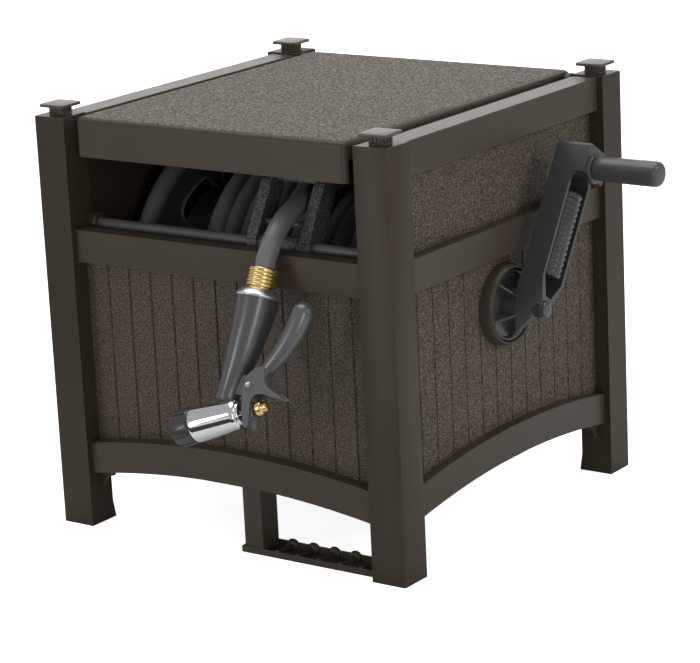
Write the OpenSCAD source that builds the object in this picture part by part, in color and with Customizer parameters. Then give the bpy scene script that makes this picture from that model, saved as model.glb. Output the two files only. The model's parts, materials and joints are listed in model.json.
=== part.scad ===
/* [Box] */
// Overall width across the posts
box_w = 510; // [480:1:560]
// Overall depth across the posts
box_d = 510; // [480:1:560]
// Height of the posts
post_h = 510; // [506:1:530]
// Width of a post across the front
post_w = 46; // [40:1:52]
// Depth of a post along the side
post_d = 45; // [40:1:52]
// Radius on the outer arris of a post
post_r = 2.5; // [1:0.5:6]
// Step between the plain foot and the relieved inner faces of a post
post_relief = 2; // [1:0.5:4]
// Height of the plain foot of a post
foot_h = 22; // [10:1:40]

/* [Post caps] */
// Side of the square cap plate
cap_w = 37; // [30:1:42]
// Thickness of the cap plate at its edge
cap_t = 3.5; // [2:0.5:6]
// Side of the square neck under the cap
cap_neck_w = 19.5; // [12:0.5:26]
// Height of the neck
cap_neck_h = 10; // [4:0.5:16]

/* [Wall panels] */
// How far the rails stand behind the post faces
rail_set = 8; // [4:0.5:14]
// How far the front and rear fields stand behind the post faces
front_field_set = 26; // [18:0.5:32]
// How far the side fields stand behind the post faces
side_field_set = 21; // [16:0.5:28]
// Thickness of the field walls
wall_t = 4; // [3:0.5:6]
// Top of the beadboard field
bead_top_z = 333; // [300:1:350]
// Height of the rail above the beadboard
mid_rail_h = 40; // [30:1:50]
// Height of the arched rail at the bottom
arch_rail_h = 39; // [30:1:50]
// Underside of the arched rail where it meets a post
arch_end_z = 66; // [50:1:90]
// Rise of the arch at its middle
arch_rise = 18; // [8:1:30]
// Distance between beadboard grooves
groove_pitch = 32.5; // [24:0.5:45]
// Width of a beadboard groove
groove_w = 2.4; // [1:0.2:5]
// Depth of a beadboard groove
groove_depth = 1.4; // [0.5:0.1:2.5]
// Height of the top rail on the sides
top_rail_h = 41; // [30:1:50]
// Top of the side rails
side_top_z = 508; // [500:1:509]
// Width of the flat top of a side rail
top_rail_w = 34; // [24:1:36]
// Top of the rear wall, under the turning edge of the lid
rear_top_z = 482; // [470:1:483]

/* [Lid] */
// Gap between the lid and a side rail
lid_gap = 17.5; // [14:0.5:20]
// Thickness of the lid skin
lid_t = 4; // [3:0.5:6]
// Top of the lid
lid_top_z = 512; // [510:1:516]
// Lower edge of the deep front lip
lip_z = 464.5; // [455:0.5:480]
// How far the lid's front face stands behind the post faces
lid_front_set = 4; // [2:0.5:10]
// Radius of the lid's top edges
lid_edge_r = 6; // [3:0.5:10]
// Distance of the hinge line in front of the rear post faces
hinge_inset = 33; // [30:1:38]
// Height of the hinge line
hinge_z = 500; // [498:0.5:502]
// Radius of a hinge pin
hinge_pin_r = 4; // [3:0.5:5]

/* [Reel] */
// Height of the reel's axis
axle_z = 272; // [268:1:274]
// Radius of the reel flanges
flange_r = 180; // [174:1:182]
// Thickness of a flange plate
flange_t = 4; // [3:0.5:6]
// Space between the left wall and the hose side of the left flange
left_space = 54; // [50:1:60]
// Space between the right wall and the hose side of the right flange
right_space = 55; // [48:1:56]
// Radius of the drum that the hose is wound on
drum_r = 112.5; // [100:0.5:112.5]
// Thickness of the drum wall
drum_t = 3; // [2:0.5:5]
// Number of openings round a flange
flange_openings = 10; // [6:1:12]
// Radius of the crank shaft
shaft_r = 11; // [8:0.5:14]
// Outer radius of the water tube that forms the left axle
tube_r = 14; // [12:0.5:18]
// Bore radius of the water tube
tube_bore_r = 9; // [6:0.5:10]
// Radius of the threaded inlet stub
inlet_r = 13.35; // [12:0.05:14]
// Radius of the round flange that holds the inlet stub on the wall
inlet_flange_r = 30; // [24:1:36]
// Radial clearance of every turning fit
fit_gap = 0.05; // [0.03:0.01:0.08]

/* [Crank] */
// Radius of the ring on the side wall at its foot
ring_r = 50; // [47:0.5:56]
// How far the ring stands out of the wall
ring_h = 16; // [12:0.5:20]
// Radius of the dished crank disc
disc_r = 42.5; // [36:0.5:43]
// Distance from the axle to the middle of the grip
crank_len = 179.5; // [150:0.5:200]
// Angle of the crank arm behind upright
crank_lean = 33; // [20:1:60]
// Width of the crank arm across its length
arm_w = 50; // [44:1:54]
// Depth of the crank arm along the axle
arm_depth = 30; // [26:1:34]
// Wall thickness of the channel in the arm
arm_wall = 4; // [3:0.5:6]
// Radius of the grip
grip_r = 15; // [12:0.5:18]
// Length of the grip
grip_len = 86; // [70:1:100]
// Radius of the grip's spindle
spindle_r = 6; // [4:0.5:8]

/* [Hose and guide] */
// Outer diameter of the hose
hose_d = 24; // [20:0.5:24]
// Distance between neighbouring turns
turn_pitch = 24.8; // [24.6:0.1:25.4]
// Radius of the guide rod
rod_r = 6.5; // [5:0.5:8]
// Height of the guide rod's axis
rod_z = 374; // [370:0.5:376]
// Width of the hose guide between its outer faces
guide_w = 90; // [80:1:100]
// Length of a guide plate above the rod
guide_len = 80; // [70:1:86]
// Lean of the guide plates behind upright
guide_lean = 30; // [15:1:40]

/* [Foot step] */
// Width of the step leg
leg_w = 27; // [20:1:34]
// Left edge of the step leg from the middle
leg_x = 15; // [5:1:30]
// How far the tread stands behind the post faces
tread_set = 13; // [10:1:20]
// Depth of the tread from front to back
tread_d = 37; // [32:1:37]
// Height of the tread's rim
tread_h = 8; // [6:0.5:12]
// Number of ribs across the tread
tread_ribs = 5; // [3:1:7]

/* [Nozzle] */
// Radius of the brass coupling
coupling_r = 17; // [14:0.5:18]
// Length of the brass coupling
coupling_len = 22; // [20:0.5:30]
// Radius of the chrome barrel at its spray end
barrel_r = 21.5; // [17:0.5:22]
// Length of the chrome barrel
barrel_len = 64; // [50:1:70]
// Length of the ribbed spray ring
spray_ring_len = 25; // [16:1:30]
// Angle between barrel and level in the nozzle's own plane
barrel_dip = 19.7; // [15:0.1:25]

/* [Hidden] */
$fn = 64;

resin_brown = [0.24, 0.20, 0.17];
stucco_brown = [0.30, 0.26, 0.22];
crank_black = [0.13, 0.14, 0.14];
hose_grey = [0.27, 0.29, 0.29];
brass_gold = [0.85, 0.66, 0.30];
chrome_silver = [0.86, 0.87, 0.89];

rest_gap = 0.3;
seat_in = 0.05;
half_w = box_w / 2;
half_d = box_d / 2;
bay_half_w = half_w - post_w + post_relief;
bay_half_d = half_d - post_d + post_relief;
side_face = half_w - rail_set;
front_face = half_d - rail_set;
side_field = half_w - side_field_set;
front_field = half_d - front_field_set;
mid_rail_z = bead_top_z + mid_rail_h;
lid_w = 2 * (side_face - top_rail_w - lid_gap);
left_flange_x = side_field - wall_t - left_space;
right_flange_x = side_field - wall_t - right_space;
arch_mid_z = arch_end_z + arch_rise;
floor_z = arch_mid_z;
floor_t = 4;
seam_h = 4;
gusset_w = 20;
gusset_drop = 21;

module mirrored_x() {
    children();
    mirror([1, 0, 0]) children();
}

// Cylinder along X between two stations, its axis through the origin
module x_cyl(r, x0, x1) {
    translate([x0, 0, 0]) rotate([0, 90, 0]) cylinder(r = r, h = x1 - x0);
}

// Solid of revolution about X from a profile of [radius, x] points
module x_turned(profile) {
    rotate([0, 90, 0]) rotate_extrude() polygon(profile);
}

// Upright slab whose outline is drawn in X and Z, between two depths
module slab(y0, y1) {
    translate([0, y1, 0]) rotate([90, 0, 0]) linear_extrude(y1 - y0) children();
}

// Slab whose outline is drawn in Y and Z, between two stations along X
module side_slab(x0, x1) {
    translate([x0, 0, 0]) rotate([90, 0, 90]) linear_extrude(x1 - x0) children();
}

module round_square(w, d, r) {
    square([w - 2 * r, d], center = true);
    square([w, d - 2 * r], center = true);
    for (sx = [-1, 1], sy = [-1, 1])
        translate([sx * (w / 2 - r), sy * (d / 2 - r)]) circle(r);
}

module box_between(low, high) {
    translate(low) cube(high - low);
}

// Post with its outer arris at the origin, running to +X and +Y
module post_outline(w, d) {
    translate([post_r, 0]) square([w - post_r, d]);
    translate([0, post_r]) square([w, d - post_r]);
    translate([post_r, post_r]) circle(post_r);
}

module corner_post() {
    lip = 3;
    color(resin_brown) {
        linear_extrude(foot_h) post_outline(post_w, post_d);
        translate([0, 0, foot_h]) linear_extrude(post_h - foot_h) {
            post_outline(post_w - post_relief, post_d - post_relief);
            translate([post_w - post_relief - 1, 0]) square([post_relief + 1, lip]);
            translate([0, post_d - post_relief - 1]) square([lip, post_relief + 1]);
        }
    }
}

module front_left_post() translate([-half_w, -half_d, 0]) corner_post();
module front_right_post() mirror([1, 0, 0]) front_left_post();
module rear_left_post() mirror([0, 1, 0]) front_left_post();
module rear_right_post() mirror([0, 1, 0]) front_right_post();

module post_cap() {
    crown_r = 180;
    crown_h = 1.2;
    translate([0, 0, cap_neck_h / 2]) cube([cap_neck_w, cap_neck_w, cap_neck_h], center = true);
    cylinder(r = cap_neck_w / 2 + 3.5, h = 2);
    intersection() {
        translate([0, 0, cap_neck_h]) linear_extrude(cap_t + crown_h) round_square(cap_w, cap_w, 5);
        translate([0, 0, cap_neck_h + cap_t + crown_h - crown_r]) sphere(crown_r, $fn = 160);
    }
}

module post_caps() {
    color(resin_brown)
    for (sx = [-1, 1], sy = [-1, 1])
        translate([sx * (half_w - post_w / 2), sy * (half_d - post_d / 2), post_h]) post_cap();
}

// Disc under an arch that spans twice this half width, grown by a lift
module arch_disc(half, lift) {
    arch_r = (half * half + arch_rise * arch_rise) / (2 * arch_rise);
    translate([0, arch_mid_z - arch_r]) circle(arch_r + lift, $fn = 240);
}

// Everything below the top of the beadboard and outside the lifted arch
module above_arch(half, lift) {
    difference() {
        translate([-half, 0]) square([2 * half, bead_top_z]);
        arch_disc(half, lift);
    }
}

module arch_rail_outline(half) {
    intersection() {
        above_arch(half, 0);
        arch_disc(half, arch_rail_h);
    }
}

module gusset_outline(half) {
    difference() {
        translate([half - gusset_w, arch_end_z - gusset_drop]) square([gusset_w, gusset_drop + 12]);
        translate([half - gusset_w, arch_end_z - gusset_drop]) circle(gusset_w - 4);
    }
}

// Lower part of every wall, drawn with its outer face towards -Y
module wall_lower(half, face, field) {
    grooves = floor((half - 12) / groove_pitch);
    slab(-face, -field + wall_t) arch_rail_outline(half);
    slab(-face, -field + wall_t)
        translate([-half, bead_top_z]) square([2 * half, mid_rail_h]);
    slab(-field + wall_t - 6, -field + wall_t) {
        gusset_outline(half);
        mirror([1, 0]) gusset_outline(half);
    }
    difference() {
        slab(-field, -field + wall_t) above_arch(half, arch_rail_h - 1);
        for (i = [-grooves:grooves])
            translate([i * groove_pitch - groove_w / 2, -field - 1, arch_end_z])
                cube([groove_w, groove_depth + 1, bead_top_z - arch_end_z]);
        box_between([-half, -field - 1, bead_top_z - seam_h],
            [half, -field + groove_depth, bead_top_z]);
    }
}

module front_panel() {
    color(resin_brown) wall_lower(bay_half_w, front_face, front_field);
}

module rear_panel() {
    color(resin_brown) mirror([0, 1, 0]) {
        wall_lower(bay_half_w, front_face, front_field);
        slab(-front_field, -front_field + wall_t)
            translate([-bay_half_w, mid_rail_z]) square([2 * bay_half_w, rear_top_z - mid_rail_z - 10]);
        slab(-front_face, -front_field + wall_t)
            translate([-bay_half_w, rear_top_z - top_rail_h]) square([2 * bay_half_w, top_rail_h]);
    }
}

ledge_z = 486;
ledge_t = 4;
ledge_in = 27;
axle_hole_r = 17;

// Side wall with its outer face towards -Y, before it is turned to its side
module side_wall(hole_r) {
    top_in = side_face - top_rail_w;
    difference() {
        union() {
            wall_lower(bay_half_d, side_face, side_field);
            difference() {
                slab(-side_field, -side_field + wall_t)
                    translate([-bay_half_d, mid_rail_z]) square([2 * bay_half_d, side_top_z - mid_rail_z]);
                box_between([-bay_half_d, -side_field - 1, mid_rail_z],
                    [bay_half_d, -side_field + groove_depth, mid_rail_z + seam_h]);
            }
            box_between([-bay_half_d, -side_face, side_top_z - top_rail_h],
                [bay_half_d, -top_in, side_top_z]);
            box_between([-bay_half_d + 6, -top_in - 1, ledge_z],
                [bay_half_d - 6, -top_in + ledge_in, ledge_z + ledge_t]);
        }
        translate([0, -side_field - 1, axle_z]) rotate([-90, 0, 0]) cylinder(r = hole_r, h = wall_t + 2);
    }
}

module left_panel() {
    color(resin_brown) rotate([0, 0, -90]) side_wall(axle_hole_r);
}

module right_panel() {
    color(resin_brown) rotate([0, 0, 90]) side_wall(axle_hole_r);
}

module floor_tray() {
    reach_w = side_field - wall_t - rest_gap;
    reach_d = front_field - wall_t - rest_gap;
    notch_w = bay_half_w - post_relief - rest_gap;
    notch_d = bay_half_d - post_relief - rest_gap;
    drain_pitch = 90;
    color(resin_brown)
    translate([0, 0, floor_z]) linear_extrude(floor_t) difference() {
        union() {
            square([2 * reach_w, 2 * notch_d], center = true);
            square([2 * notch_w, 2 * reach_d], center = true);
        }
        for (ix = [-1.5:1.5], iy = [-1.5:1.5]) translate([ix * drain_pitch, iy * drain_pitch]) circle(5);
    }
}

// Step: a shallow ribbed tray on the ground, hung from one leg and the post
step_y0 = -half_d + tread_set;
step_y1 = step_y0 + tread_d;
step_x1 = half_w - post_w;
module foot_step() {
    rim = 3;
    base_t = 2.5;
    nub_r = 2.6;
    bump_r = 6;
    leg_wall = 3;
    leg_top_z = floor_z - 1;
    run = step_x1 - leg_x - leg_w;
    pitch = run / (tread_ribs + 0.5);
    color(resin_brown) {
        box_between([leg_x - 4, step_y0, 0], [step_x1, step_y1, base_t]);
        box_between([leg_x - 4, step_y0, 0], [step_x1, step_y0 + rim, tread_h]);
        box_between([leg_x - 4, step_y1 - rim, 0], [step_x1, step_y1, tread_h + 2]);
        box_between([leg_x - 4, step_y0, 0], [leg_x, step_y1, tread_h]);
        for (i = [1:tread_ribs]) {
            rib_x = leg_x + leg_w + (i - 0.35) * pitch;
            box_between([rib_x - 1, step_y0, 0], [rib_x + 1, step_y1, tread_h - 1]);
            translate([rib_x, step_y0 + rim / 2 + 1, tread_h - 1]) sphere(nub_r, $fn = 24);
            if (i < tread_ribs)
                translate([rib_x + pitch / 2, step_y1, tread_h]) rotate([90, 0, 0])
                    cylinder(r = bump_r, h = rim, $fn = 40);
        }
        difference() {
            box_between([leg_x, step_y0 + 2, 0], [leg_x + leg_w, step_y1 - rim, leg_top_z]);
            box_between([leg_x + leg_wall, step_y0 + 2 + leg_wall, base_t],
                [leg_x + leg_w - leg_wall, step_y1, leg_top_z + 1]);
        }
    }
}

// Guide rod between two sockets at the front corners
rod_y = -half_d + 47;
socket_t = 8;
module rod_line() translate([0, rod_y, rod_z]) children();

module guide_rod() {
    color(crank_black) rod_line() x_cyl(rod_r, -bay_half_w, bay_half_w);
}

module rod_socket() {
    collar_r = rod_r + 6;
    tab_y = -bay_half_d + 1;
    difference() {
        union() {
            rod_line() x_turned([[0, bay_half_w - socket_t], [collar_r - 2, bay_half_w - socket_t],
                [collar_r, bay_half_w - socket_t + 2], [collar_r, bay_half_w], [0, bay_half_w]]);
            box_between([bay_half_w - socket_t + 2, tab_y, rod_z - 9],
                [side_field - wall_t, tab_y + 12, rod_z + 9]);
        }
        rod_line() x_cyl(rod_r + fit_gap, bay_half_w - socket_t - 1, bay_half_w + 1);
    }
}

module rod_sockets() {
    color(resin_brown) mirrored_x() rod_socket();
}

// Brown bearing ring that carries the crank on the right wall
disc_x = side_field + 6;
module crank_ring() {
    cup_floor = 4;
    cup_r = disc_r + 1.5;
    sleeve_r = axle_hole_r - fit_gap;
    color(resin_brown) translate([0, 0, axle_z]) x_turned([
        [shaft_r + fit_gap, side_field - wall_t - 8], [sleeve_r, side_field - wall_t - 8],
        [sleeve_r, side_field], [ring_r, side_field], [ring_r - 2, side_field + ring_h - 5],
        [ring_r - 4, side_field + ring_h], [cup_r, side_field + ring_h],
        [cup_r, side_field + cup_floor], [shaft_r + fit_gap, side_field + cup_floor]]);
}

module inlet_bush() {
    color(crank_black) translate([0, 0, axle_z]) mirror([1, 0, 0]) x_turned([
        [tube_r + fit_gap, side_field - wall_t - 7], [axle_hole_r + 7, side_field - wall_t - 7],
        [axle_hole_r + 7, side_field - wall_t], [axle_hole_r - fit_gap, side_field - wall_t],
        [axle_hole_r - fit_gap, side_field], [tube_r + fit_gap, side_field]]);
}

// Fixed hose thread stub outside the left wall
stub_end_x = half_w - 1;
module inlet_fitting() {
    flange_end = side_field + 5;
    color(crank_black) translate([0, 0, axle_z]) mirror([1, 0, 0]) x_turned([
        [tube_bore_r, side_field], [inlet_flange_r, side_field], [inlet_flange_r, flange_end - 1],
        [inlet_flange_r - 1, flange_end],
        [inlet_r + 3, flange_end], [inlet_r + 3, flange_end + 3], [inlet_r, flange_end + 3],
        [inlet_r, stub_end_x], [tube_bore_r, stub_end_x]]);
}

// Lid hinge line and the pieces on it
hinge_y = half_d - hinge_inset;
pin_in_x = lid_w / 2 - 8;
bracket_x0 = lid_w / 2 + 2.5;
bracket_x1 = bracket_x0 + 8;
module hinge_line() translate([0, hinge_y, hinge_z]) children();

module hinge_brackets() {
    ear_r = hinge_pin_r + 5;
    color(resin_brown) mirrored_x() difference() {
        union() {
            hinge_line() x_cyl(ear_r, bracket_x0, bracket_x1);
            box_between([bracket_x0, hinge_y - 5, rear_top_z], [bracket_x1, front_face - 7, hinge_z - 4]);
        }
        hinge_line() x_cyl(hinge_pin_r + fit_gap, bracket_x0 - 1, bracket_x1 + 1);
    }
}

module hinge_pins() {
    color(chrome_silver) mirrored_x() hinge_line() x_cyl(hinge_pin_r, pin_in_x, bracket_x1 + 1.5);
}

// Lid skin: crowned top, deep front lip, shallow side and rear skirts
lid_y0 = -half_d + lid_front_set;
lid_y1 = hinge_y + 9;
skirt_z = ledge_z + ledge_t + rest_gap;
module lid_side_outline(grow) {
    r = lid_edge_r + grow;
    y0 = lid_y0 - grow;
    y1 = lid_y1 + grow;
    z1 = lid_top_z + grow;
    translate([y0, lip_z - 1]) square([y1 - y0, z1 - r - lip_z + 1]);
    translate([y0 + r, lip_z - 1]) square([y1 - y0 - 2 * r, z1 - lip_z + 1]);
    translate([y0 + r, z1 - r]) circle(r);
    translate([y1 - r, z1 - r]) circle(r);
}

module lid_front_outline(grow) {
    r = lid_edge_r + grow;
    half = lid_w / 2 + grow;
    z1 = lid_top_z + grow;
    translate([-half, lip_z - 1]) square([2 * half, z1 - r - lip_z + 1]);
    translate([-half + r, lip_z - 1]) square([2 * (half - r), z1 - lip_z + 1]);
    for (s = [-1, 1]) translate([s * (half - r), z1 - r]) circle(r);
}

module lid_form(grow) {
    intersection() {
        side_slab(-lid_w / 2 - 1, lid_w / 2 + 1) lid_side_outline(grow);
        slab(lid_y0 - 1, lid_y1 + 1) lid_front_outline(grow);
    }
}

module lid() {
    lip_back = lid_y0 + lid_t + 3;
    rear_z = hinge_z - 14;
    color(stucco_brown) difference() {
        union() {
            difference() {
                lid_form(0);
                lid_form(-lid_t);
                box_between([-lid_w, lid_y0 - 1, lip_z - 2], [lid_w, lid_y1 + 1, lip_z]);
                box_between([-lid_w, lip_back, lip_z - 2], [lid_w, lid_y1 - lid_t - 1, skirt_z]);
                box_between([-lid_w, lip_back, lip_z - 2], [lid_w, lid_y1 + 1, rear_z]);
            }
            mirrored_x() hinge_line() x_cyl(hinge_pin_r + 4, pin_in_x, lid_w / 2);
            mirrored_x() box_between([pin_in_x + 1, hinge_y - 4, hinge_z],
                [lid_w / 2 - 1, hinge_y + 4, lid_top_z - lid_t]);
        }
        mirrored_x() hinge_line() x_cyl(hinge_pin_r + fit_gap, pin_in_x - 1, lid_w / 2 + 1);
    }
}

module reel_line() translate([0, 0, axle_z]) children();

// Teardrop opening of a flange, with its round end outwards
module teardrop(edge) {
    round_r = 14;
    hull() {
        translate([drum_r + 23.5, 0]) circle(round_r + edge);
        translate([drum_r + 9, 0]) circle(3 + edge);
    }
}

// Flange plate with a round rim, spokes outside, and teardrop openings with a raised edge on one face
module reel_flange(hole_r, inner_x, side, edge_x0) {
    rim_r = 10;
    edge_w = 4;
    edge_h = 3.5;
    outer_x = inner_x + side * flange_t;
    x0 = min(inner_x, outer_x);
    turn = 9;
    difference() {
        union() {
            x_cyl(flange_r - rim_r, x0, x0 + flange_t);
            translate([inner_x + side * (rim_r - 2), 0, 0]) rotate([0, 90, 0]) rotate_extrude()
                translate([flange_r - rim_r, 0]) circle(rim_r, $fn = 24);
            x_cyl(28, min(inner_x, inner_x + side * 16), max(inner_x, inner_x + side * 16));
            for (i = [0:flange_openings - 1]) {
                rotate([(i + 0.5) * 360 / flange_openings + turn, 0, 0])
                    translate([min(outer_x, outer_x + side * 5), 24, -1.5]) cube([5, flange_r - 30, 3]);
                rotate([i * 360 / flange_openings + turn, 0, 0])
                    side_slab(edge_x0 - edge_h, edge_x0 + edge_h) teardrop(edge_w);
            }
        }
        x_cyl(hole_r, x0 - 40, x0 + 40);
        for (i = [0:flange_openings - 1]) rotate([i * 360 / flange_openings + turn, 0, 0])
            side_slab(x0 - 20, x0 + 20) teardrop(0);
    }
}

module left_flange() {
    color(crank_black) reel_line() reel_flange(tube_r + seat_in, -left_flange_x, -1, -left_flange_x);
}

module right_flange() {
    color(crank_black) reel_line()
        reel_flange(shaft_r + seat_in, right_flange_x, 1, right_flange_x + flange_t);
}

module reel_drum() {
    color(crank_black) reel_line() difference() {
        x_cyl(drum_r, -left_flange_x, right_flange_x);
        x_cyl(drum_r - drum_t, -left_flange_x - 1, right_flange_x + 1);
        branch_line() cylinder(r = branch_r + seat_in, h = drum_r + 5);
    }
}

module crank_shaft() {
    color(chrome_silver) reel_line() x_cyl(shaft_r, water_end_x, disc_x + 6);
}

// Winding: two layers over the drum, wound by a rule
left_room = 75;
right_room = 15;
turn_left_x = left_room - left_flange_x;
first_turns = floor((right_flange_x - right_room - turn_left_x) / turn_pitch - 0.5) + 0.5;
climb_turns = 0.5;
last_turns = 6.25;
loop_rings = 24;
inner_layer_r = (drum_r + rest_gap) / cos(180 / loop_rings) + hose_d / 2;
outer_layer_r = inner_layer_r + turn_pitch;
first_x = turn_left_x + first_turns * turn_pitch;
last_x = turn_left_x + last_turns * turn_pitch;
all_turns = first_turns + climb_turns + last_turns;
flare = 6;
flare_span = 0.8;

function wind_x(t) =
    let (from_mid = abs(t - first_turns - climb_turns / 2),
         bulge = from_mid < flare_span ? flare * (1 + cos(180 * from_mid / flare_span)) / 2 : 0)
    (t < first_turns ? first_x - t * turn_pitch
        : t < first_turns + climb_turns ? turn_left_x
        : turn_left_x + (t - first_turns - climb_turns) * turn_pitch) - bulge;
function wind_r(t) =
    t < first_turns ? inner_layer_r
        : t > first_turns + climb_turns ? outer_layer_r
        : inner_layer_r + turn_pitch * (1 - cos(180 * (t - first_turns) / climb_turns)) / 2;
function wind_angle(t) = 90 + 360 * (t - all_turns);
function around(a) = [0, cos(a), sin(a)];
function along(a) = [0, -sin(a), cos(a)];
function wind_point(t) = [wind_x(t), 0, axle_z] + wind_r(t) * around(wind_angle(t));
winding_path = concat(
    [wind_point(0) - hose_d * along(wind_angle(0))],
    [for (i = [0:all_turns * loop_rings]) wind_point(i / loop_rings)],
    [wind_point(all_turns) + hose_d * along(wind_angle(all_turns))]);
winding_side = concat(
    [around(wind_angle(0))],
    [for (i = [0:all_turns * loop_rings]) around(wind_angle(i / loop_rings))],
    [around(wind_angle(all_turns))]);

// Tube of a polygon section swept along a path, with one reference direction a ring
module swept_tube(path, side, r, sides) {
    n = len(path);
    pts = [for (i = [0:n - 1])
        let (t0 = path[min(i + 1, n - 1)] - path[max(i - 1, 0)], t = t0 / norm(t0),
             e0 = side[i] - t * (side[i] * t), e = e0 / norm(e0), f = cross(t, e))
        for (k = [0:sides - 1]) path[i] + r * (cos(360 * k / sides) * e + sin(360 * k / sides) * f)];
    skin = [for (i = [0:n - 2], k = [0:sides - 1])
        let (a = i * sides + k, b = i * sides + (k + 1) % sides, c = b + sides, d = a + sides)
        each [[a, d, c], [a, c, b]]];
    caps = [[for (k = [0:sides - 1]) k], [for (k = [0:sides - 1]) n * sides - 1 - k]];
    polyhedron(points = pts, faces = concat(skin, caps));
}

least_gap = min([for (i = [0:len(winding_path) - 1], j = [i + loop_rings / 2:1:len(winding_path) - 1])
    norm(winding_path[i] - winding_path[j])]) - hose_d;
echo(wound_hose_least_gap_mm = least_gap);

module wound_hose() {
    color(hose_grey) swept_tube(winding_path, winding_side, hose_d / 2, 6);
}

// Brass fitting on the hose's inner end, and the elbow that feeds it through the drum
fitting_len = 34;
fitting_r = 12.3;
elbow_bend = 20;
elbow_r = 11;
branch_r = 9;
fitting_drop = hose_d + fitting_len;
bend_y = inner_layer_r - elbow_bend;
elbow_turn = atan2(fitting_drop, bend_y) + acos(-elbow_bend / norm([bend_y, fitting_drop]));
branch_angle = -atan2(fitting_drop + elbow_bend * sin(elbow_turn), bend_y + elbow_bend * cos(elbow_turn));
water_end_x = first_x + 10;

// Frame with Z running out from the axle through the elbow's foot
module branch_line() translate([first_x, 0, 0]) rotate([branch_angle - 90, 0, 0]) children();

module inner_hose_fitting() {
    color(brass_gold) reel_line() translate([first_x, inner_layer_r, -fitting_drop]) {
        cylinder(r = fitting_r, h = 12, $fn = 6);
        cylinder(r = fitting_r - 1.5, h = fitting_len);
        translate([0, 0, fitting_len - 10]) cylinder(r = fitting_r, h = 10);
    }
}

module outlet_elbow() {
    color(crank_black) reel_line() difference() {
        union() {
            translate([first_x, bend_y, -fitting_drop]) rotate([0, 90, 0]) rotate([0, 0, 90])
                mirror([0, 1, 0]) rotate_extrude(angle = elbow_turn) translate([elbow_bend, 0]) circle(elbow_r);
            branch_line() translate([0, 0, drum_r - 5]) cylinder(r = elbow_r + 0.6, h = elbow_foot_h + 1.5);
        }
        x_cyl(drum_r, first_x - 40, first_x + 40);
    }
}
elbow_foot_h = 5 + norm([bend_y + elbow_bend * cos(elbow_turn), fitting_drop + elbow_bend * sin(elbow_turn)])
    - drum_r;

// Hollow left axle that carries the water into the drum and out to the elbow
module water_tube() {
    color(crank_black) reel_line() difference() {
        union() {
            x_cyl(tube_r, -side_field + rest_gap, water_end_x - seat_in);
            intersection() {
                branch_line() cylinder(r = branch_r, h = drum_r + 5);
                x_cyl(drum_r, first_x - 40, first_x + 40);
            }
        }
        x_cyl(tube_bore_r, -side_field, first_x + 4);
        branch_line() cylinder(r = branch_r - 3, h = drum_r + 5);
    }
}

// Crank: drawn in its own frame, X along the axle, Z along the arm
arm_x0 = disc_x + 24;
arm_x1 = arm_x0 + arm_depth;
head_x1 = arm_x1 + 15;
head_z = crank_len + 23;
module crank_frame() reel_line() rotate([-crank_lean, 0, 0]) children();

// Arm between its foot and its head, wide behind and drawn in to the pin in front
module arm_body() {
    h = arm_w / 2;
    hull() {
        side_slab(arm_x0, arm_x0 + 1) polygon([[-h, head_z - 30], [-h, 10], [0, -34], [h, 10], [h, head_z - 30]]);
        side_slab(arm_x1 - 1, arm_x1)
            polygon([[-h, head_z - 30], [-h, 33], [-9, 3], [9, 3], [h, 33], [h, head_z - 30]]);
    }
    side_slab(arm_x0, head_x1) polygon([[-h, head_z - 36], [h, head_z - 36], [h, head_z - 13],
        [h - 13, head_z], [-h + 3, head_z], [-h, head_z - 4]]);
}

module channel_outline() {
    h = arm_w / 2 - arm_wall;
    top = head_z - 36;
    polygon([[-h, 36], [-6, 14], [6, 14], [h, 36], [h, top - 8], [h - 8, top], [-h + 8, top], [-h, top - 8]]);
}

// Ribbed barrel that stands on the channel's floor
module ribbed_core() {
    rib_pitch = 7;
    z0 = 40;
    ribs = floor((head_z - 60 - z0) / rib_pitch);
    r_in = 11.6;
    r_out = 13;
    axis_x = arm_x1 - 9;
    profile = concat([[0, z0]],
        [for (i = [0:ribs - 1]) each [[r_in, z0 + i * rib_pitch], [r_out, z0 + (i + 0.3) * rib_pitch],
            [r_out, z0 + (i + 0.7) * rib_pitch]]],
        [[r_in, z0 + ribs * rib_pitch], [0, z0 + ribs * rib_pitch]]);
    intersection() {
        translate([axis_x, 0, 0]) rotate_extrude() polygon(profile);
        box_between([arm_x0 + arm_wall - 1, -arm_w, 0], [arm_x1 + 10, arm_w, crank_len]);
    }
    box_between([arm_x0 + arm_wall - 1, 3 - r_in, z0 + 1], [axis_x, r_in - 3, z0 + ribs * rib_pitch - 1]);
}

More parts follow.
